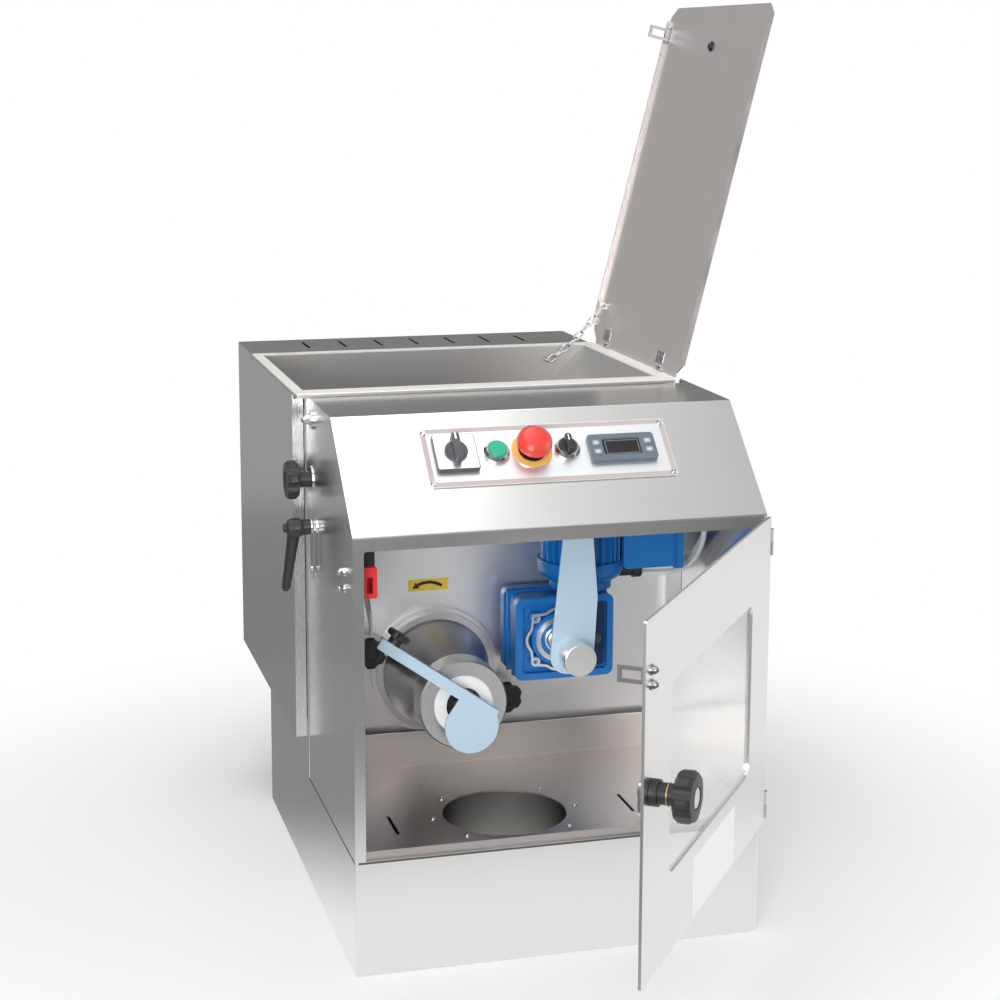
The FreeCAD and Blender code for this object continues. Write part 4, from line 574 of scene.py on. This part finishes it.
def select_parts(piece, kind, wanted):
    """Open a piece for editing with only its wanted edges or faces selected."""
    bpy.ops.object.mode_set(mode="EDIT")
    bpy.ops.mesh.select_mode(type=kind)
    bpy.ops.mesh.select_all(action="DESELECT")
    bpy.ops.object.mode_set(mode="OBJECT")
    for part in piece.data.edges if kind == "EDGE" else piece.data.polygons:
        part.select = wanted(part)
    bpy.ops.object.mode_set(mode="EDIT")


def close_editing():
    bpy.ops.object.mode_set(mode="OBJECT")


def faces_up(face):
    return face.normal.z > 0.9


def faces_up_or_down(face):
    return abs(face.normal.z) > 0.9


def slab(width, height, thickness, at):
    """Plain block with its size in its mesh, its underside's middle at a point."""
    deselect()
    bpy.ops.mesh.primitive_cube_add(size=1, location=(at[0], at[1], at[2] + thickness / 2))
    block = bpy.context.object
    block.scale = (width, height, thickness)
    deselect()
    block.select_set(True)
    bpy.ops.object.transform_apply(location=False, rotation=False, scale=True)
    return block


def thin_plate(width, height, thickness, corner, at):
    """Flat plate with rounded corners, lying in XY with its underside's middle at a point."""
    plate = slab(width, height, thickness, at)

    def upright(edge):
        start, end = (plate.data.vertices[i].co for i in edge.vertices)
        return abs(start.z - end.z) > thickness / 2

    select_parts(plate, "EDGE", upright)
    bpy.ops.mesh.bevel(offset=corner, offset_type="OFFSET", segments=6, affect="EDGES")
    close_editing()
    return plate


def cut_middle(piece, rim):
    """Open a flat piece, leaving a rim of one width all round."""
    select_parts(piece, "FACE", faces_up_or_down)
    bpy.ops.mesh.inset(thickness=rim)
    bpy.ops.mesh.bridge_edge_loops()
    close_editing()
    return piece


def disc(radius, thickness, at, hole=0.0, sides=64):
    """Flat disc or ring, lying in XY with its underside's middle at a point."""
    deselect()
    bpy.ops.mesh.primitive_cylinder_add(vertices=sides, radius=radius, depth=thickness,
                                        location=(at[0], at[1], at[2] + thickness / 2))
    plate = bpy.context.object
    return cut_middle(plate, radius - hole) if hole else plate


def triangle(radius, thickness, rounding, middle, turn=0.0):
    """Small three-sided mark with rounded edges."""
    deselect()
    bpy.ops.mesh.primitive_cylinder_add(vertices=3, radius=radius, depth=thickness,
                                        location=middle, rotation=(0, 0, turn))
    mark = bpy.context.object
    bpy.ops.object.mode_set(mode="EDIT")
    bpy.ops.mesh.bevel(offset=rounding, segments=2, affect="EDGES")
    close_editing()
    return mark


def screw_head(radius, flatness, middle):
    """Domed screw head; the flatness is its height over its radius."""
    deselect()
    bpy.ops.mesh.primitive_uv_sphere_add(segments=24, ring_count=12, radius=radius,
                                         location=middle)
    head = bpy.context.object
    head.scale = (1, 1, flatness)
    bpy.ops.object.shade_smooth()
    return head


def cut_away(piece, tool):
    """Take the tool out of the piece, and throw the tool away."""
    deselect()
    piece.select_set(True)
    bpy.context.view_layer.objects.active = piece
    cut = piece.modifiers.new("cut", "BOOLEAN")
    cut.operation = "DIFFERENCE"
    cut.solver = "EXACT"
    cut.object = tool
    bpy.ops.object.modifier_apply(modifier="cut")
    bpy.data.objects.remove(tool, do_unlink=True)
    return piece


# Printed border of the label, and the faces and pointers of the switches. Places on the label
# run from the middle of the fold above it, to the right and up its slope.
MAIN_SWITCH = (-0.105, -0.0605)
STOP_BUTTON = (-0.0175, -0.0605)
border = cut_middle(thin_plate(0.2845, 0.0785, 0.00012, corner=0.006,
                               at=(0.0025, -0.0635, LABEL_FACE)), rim=0.0060)
settle(border, "label_border", border_tan, "frame", ON_PANEL)
face = cut_away(thin_plate(0.0462, 0.0462, 0.0006, corner=0.002,
                           at=(*MAIN_SWITCH, LABEL_FACE + 0.006)),
                disc(0.0075, 0.004, at=(*MAIN_SWITCH, LABEL_FACE + 0.005)))
settle(face, "main_switch_face", silver_face, "frame", ON_PANEL)
pointer = thin_plate(0.0022, 0.009, 0.0003, corner=0.0008,
                     at=(-0.105, -0.0465, LABEL_FACE + 0.017))
settle(pointer, "main_switch_pointer", sticker_white, "main_switch", ON_PANEL)
pointer = thin_plate(0.0014, 0.008, 0.0003, corner=0.0005,
                     at=(0.0233, -0.0550, LABEL_FACE + 0.016))
settle(pointer, "selector_pointer", sticker_white, "selector", ON_PANEL)
ring = disc(0.0232, 0.0005, at=(*STOP_BUTTON, LABEL_FACE + 0.0016), hole=0.0157)
settle(ring, "stop_button_disc", warning_yellow, "frame", ON_PANEL)
gasket = disc(0.0155, 0.0003, at=(*STOP_BUTTON, LABEL_FACE + 0.0025), hole=0.0083)
settle(gasket, "stop_button_gasket", black_moulding, "frame", ON_PANEL)

# Controller: dark display behind a raised lip, and a small pale triangle on each key
display = thin_plate(0.0436, 0.0222, 0.0004, corner=0.0018,
                     at=(0.086, -0.06475, LABEL_FACE + 0.0052))
settle(display, "controller_display", display_dark, "frame", ON_PANEL)
lip = cut_middle(thin_plate(0.0395, 0.0185, 0.0004, corner=0.0010,
                            at=(0.0865, -0.0645, LABEL_FACE + 0.0056)), rim=0.0011)
settle(lip, "controller_lip", grey_case, "frame", ON_PANEL)
KEY_PLACES = {"one": (0.0565, -0.058), "two": (0.0565, -0.070),
              "three": (0.117, -0.058), "four": (0.117, -0.070)}
for number, word in enumerate(KEY_PLACES, start=1):
    mark = triangle(0.0017, 0.0003, rounding=0.0002,
                    middle=(*KEY_PLACES[word], LABEL_FACE + 0.00715))
    settle(mark, "key_mark_%d" % number, sticker_white, "key_" + word, ON_PANEL)

# Stickers: an arrow for the feed's direction, and a bare one on the door. The arrow's band is
# a thin flat section spun about the middle of its arc.
ARC_MIDDLE = (-0.08775, 0.20325, 0)
ARC_START = radians(33)
ARC_SWEEP = radians(58)
BAND_WIDTH = 0.0038
BAND_THINNESS = 0.06
INK_LEVEL = 0.00021
sticker = thin_plate(0.0497, 0.0145, 0.00015, corner=0.0012, at=(-0.08775, 0.23125, 0.0))
settle(sticker, "arrow_sticker", sticker_yellow, "frame", ON_WALL)
deselect()
bpy.ops.mesh.primitive_plane_add(size=BAND_WIDTH, location=(-0.07085, 0.22925, INK_LEVEL),
                                 rotation=(0, pi / 2, -ARC_START))
band = bpy.context.object
band.scale = (BAND_THINNESS, 1, 1)
deselect()
band.select_set(True)
bpy.ops.object.transform_apply(location=True, rotation=True, scale=True)
bpy.ops.object.mode_set(mode="EDIT")
bpy.ops.mesh.select_all(action="SELECT")
bpy.ops.mesh.spin(steps=18, dupli=False, angle=-ARC_SWEEP, center=ARC_MIDDLE, axis=(0, 0, 1))
close_editing()
settle(band, "arrow_band", ink_black, "frame", ON_WALL)
head = triangle(0.0052, 0.00013, rounding=0.00012, middle=(-0.1030, 0.2299, INK_LEVEL),
                turn=radians(123))
settle(head, "arrow_head", ink_black, "frame", ON_WALL)
blank = thin_plate(0.158, 0.063, 0.00015, corner=0.0012, at=(-0.217, 0.0375, 0.0))
settle(blank, "door_sticker", sticker_white, "door", ON_DOOR)

# Dark strip in the joint between the plinth and the hood, in front and on both sides: the joint is
# real, its darkness is painted shade of the gap
SEAMS = {"front": (0.0, 0.0, 0.4630, 0.0004),
         "left": (-HALF_WIDTH, 0.1415, 0.0004, 0.275),
         "right": (HALF_WIDTH, 0.1415, 0.0004, 0.275)}
for side, (across, along, width, depth) in SEAMS.items():
    seam = thin_plate(width, depth, 0.0022, corner=0.00015,
                      at=(across, along - HALF_DEPTH, DECK - 0.0026))
    settle(seam, "plinth_joint_shade_" + side, joint_gap_shade, "frame")

# Dark plate of painted shade in the deep recess of the knife gearbox beside the blade, with its
# hollow plug
recess = thin_plate(0.0250, 0.078, 0.0012, corner=0.004, at=(0.0500, 0.0, 0.0))
settle(recess, "gearbox_recess_shade_plate", recess_shade_blue, "frame", ON_GEARBOX)
plug = disc(0.0065, 0.003, at=(0.052, -0.006, 0.0011), sides=40)
select_parts(plug, "FACE", faces_up)
bpy.ops.mesh.inset(thickness=0.0032)
bpy.ops.transform.translate(value=(0, 0, -0.0018))
close_editing()
settle(plug, "gearbox_plug", dark_grey, "frame", ON_GEARBOX)

# Rolled edge of the lid along its hinge line, in the three gaps beside the knuckles
EDGE_RUNS = ((0.262, 0.3105), (0.3395, 0.5195), (0.5485, 0.574))
for number, (start, end) in enumerate(EDGE_RUNS, start=1):
    strip = slab(0.0066, end - start, 0.0015,
                 at=(0.2200, (start + end) / 2 - HALF_DEPTH, LID_UNDER))

    def outer_and_long(edge):
        first, second = (strip.data.vertices[i].co for i in edge.vertices)
        return min(first.x, second.x) > 0 and first.y * second.y < 0

    select_parts(strip, "EDGE", outer_and_long)
    bpy.ops.mesh.bevel(offset=0.0007, segments=5, affect="EDGES")
    close_editing()
    settle(strip, "lid_rolled_edge_%d" % number, lid_sheet, "lid", ON_LID)

# Moving leaves of the lid's hinges, each with two screws
LEAF_LEVEL = LID_UNDER - 0.0006
for number, along in enumerate(LID_HINGE_PLACES):
    leaf = thin_plate(0.0150, 0.0240, 0.0006, corner=0.0015, at=(0.2070, along, LEAF_LEVEL))
    settle(leaf, "lid_hinge_leaf_%d" % (number + 1), key_steel, "lid", ON_LID)
    for place, offset in enumerate((-0.0065, 0.0065), start=1):
        screw = screw_head(0.0026, 0.13, middle=(0.2040, along + offset, LEAF_LEVEL))
        settle(screw, "lid_hinge_screw_%d" % (2 * number + place), polished, "lid", ON_LID)

# Screw on the front of the right post
screw = screw_head(0.0034, 0.5, middle=(0.191, 0.238, 0.014))
settle(screw, "post_screw", brass, "frame", ON_WALL)

# Chain from the hopper's eye to the lid's eye, which stands off the lid's inner face
EYE_RADIUS = 0.0034
EYE_STAND_OFF = 0.0044
HOOK_RISE = 0.0012
HOPPER_EYE = Vector((0.150, 0.5708 - HALF_DEPTH, 0.586))
LID_NORMAL = LID_TURN @ Vector((0, 0, -1))
LID_EYE = (LID_HINGE + LID_TURN @ Vector((-0.050, 0.566 - HALF_DEPTH, -0.001))
           + LID_NORMAL * EYE_STAND_OFF)
CHAIN_START = HOPPER_EYE + Vector((EYE_RADIUS, 0, 0))
CHAIN_END = LID_EYE + LID_NORMAL * HOOK_RISE
LINKS = 8
WIRE = 0.0011
HOLD = WIRE * 1.13
BEND_RADIUS = 0.0036
DEPTH_AXIS = Vector((0, 1, 0))


def hang_chain(start, end, sag=0.007):
    """Points at the joints of the links, on a shallow sag."""
    return [start.lerp(end, k / LINKS) - Vector((0, 0, 4 * sag * k / LINKS * (1 - k / LINKS)))
            for k in range(LINKS + 1)]


def oval_link(middle, along, broad, half_length):
    """Round-wire oval: a torus whose two halves are moved apart."""
    deselect()
    bpy.ops.mesh.primitive_torus_add(major_radius=BEND_RADIUS, minor_radius=WIRE,
                                     major_segments=28, minor_segments=12)
    link = bpy.context.object
    for side in (-1, 1):
        for vertex in link.data.vertices:
            vertex.select = vertex.co.x * side > 1e-6
        for part in (*link.data.edges, *link.data.polygons):
            part.select = False
        bpy.ops.object.mode_set(mode="EDIT")
        bpy.ops.mesh.select_mode(type="VERT")
        bpy.ops.transform.translate(value=(side * (half_length - BEND_RADIUS), 0, 0))
        close_editing()
    turn = Matrix((along, broad, along.cross(broad))).transposed().to_4x4()
    link.matrix_world = Matrix.Translation(middle) @ turn
    bpy.ops.object.shade_smooth()
    return link


# The end links reach into the eyes, so the joints are found once more from their directions
joints = hang_chain(CHAIN_START, CHAIN_END)
first = (joints[1] - joints[0]).normalized()
last = (joints[-1] - joints[-2]).normalized()
joints = hang_chain(CHAIN_START - first * HOLD, CHAIN_END - last * (EYE_RADIUS - HOLD))
links = []
for k in range(LINKS):
    span = joints[k + 1] - joints[k]
    along = span.normalized()
    broad = DEPTH_AXIS if k % 2 else along.cross(DEPTH_AXIS).normalized()
    broad = (broad - along * broad.dot(along)).normalized()
    links.append(oval_link((joints[k] + joints[k + 1]) / 2, along, broad, span.length / 2 + HOLD))
deselect()
for link in links:
    link.select_set(True)
chain = links[0]
bpy.context.view_layer.objects.active = chain
bpy.ops.object.join()
chain.name = "lid_chain_links"
bpy.ops.object.transform_apply(location=True, rotation=True, scale=True)
chain.data.materials.append(polished)
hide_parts("lid_chain")
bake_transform(chain)

# Door knob: brass ring behind the neck and a pale cap in the star's face
KNOB_MIDDLE = (-0.446, 0.190)
ring = disc(0.0114, 0.0013, at=(*KNOB_MIDDLE, 0.0165), hole=0.0100)
settle(ring, "door_knob_ring", brass, "latch", ON_DOOR)
cap = disc(0.0097, 0.0010, at=(*KNOB_MIDDLE, 0.0427))
select_parts(cap, "FACE", faces_up)
bpy.ops.mesh.bevel(offset=0.0006, segments=3, affect="EDGES")
close_editing()
settle(cap, "door_knob_cap", pale_cap, "latch", ON_DOOR)
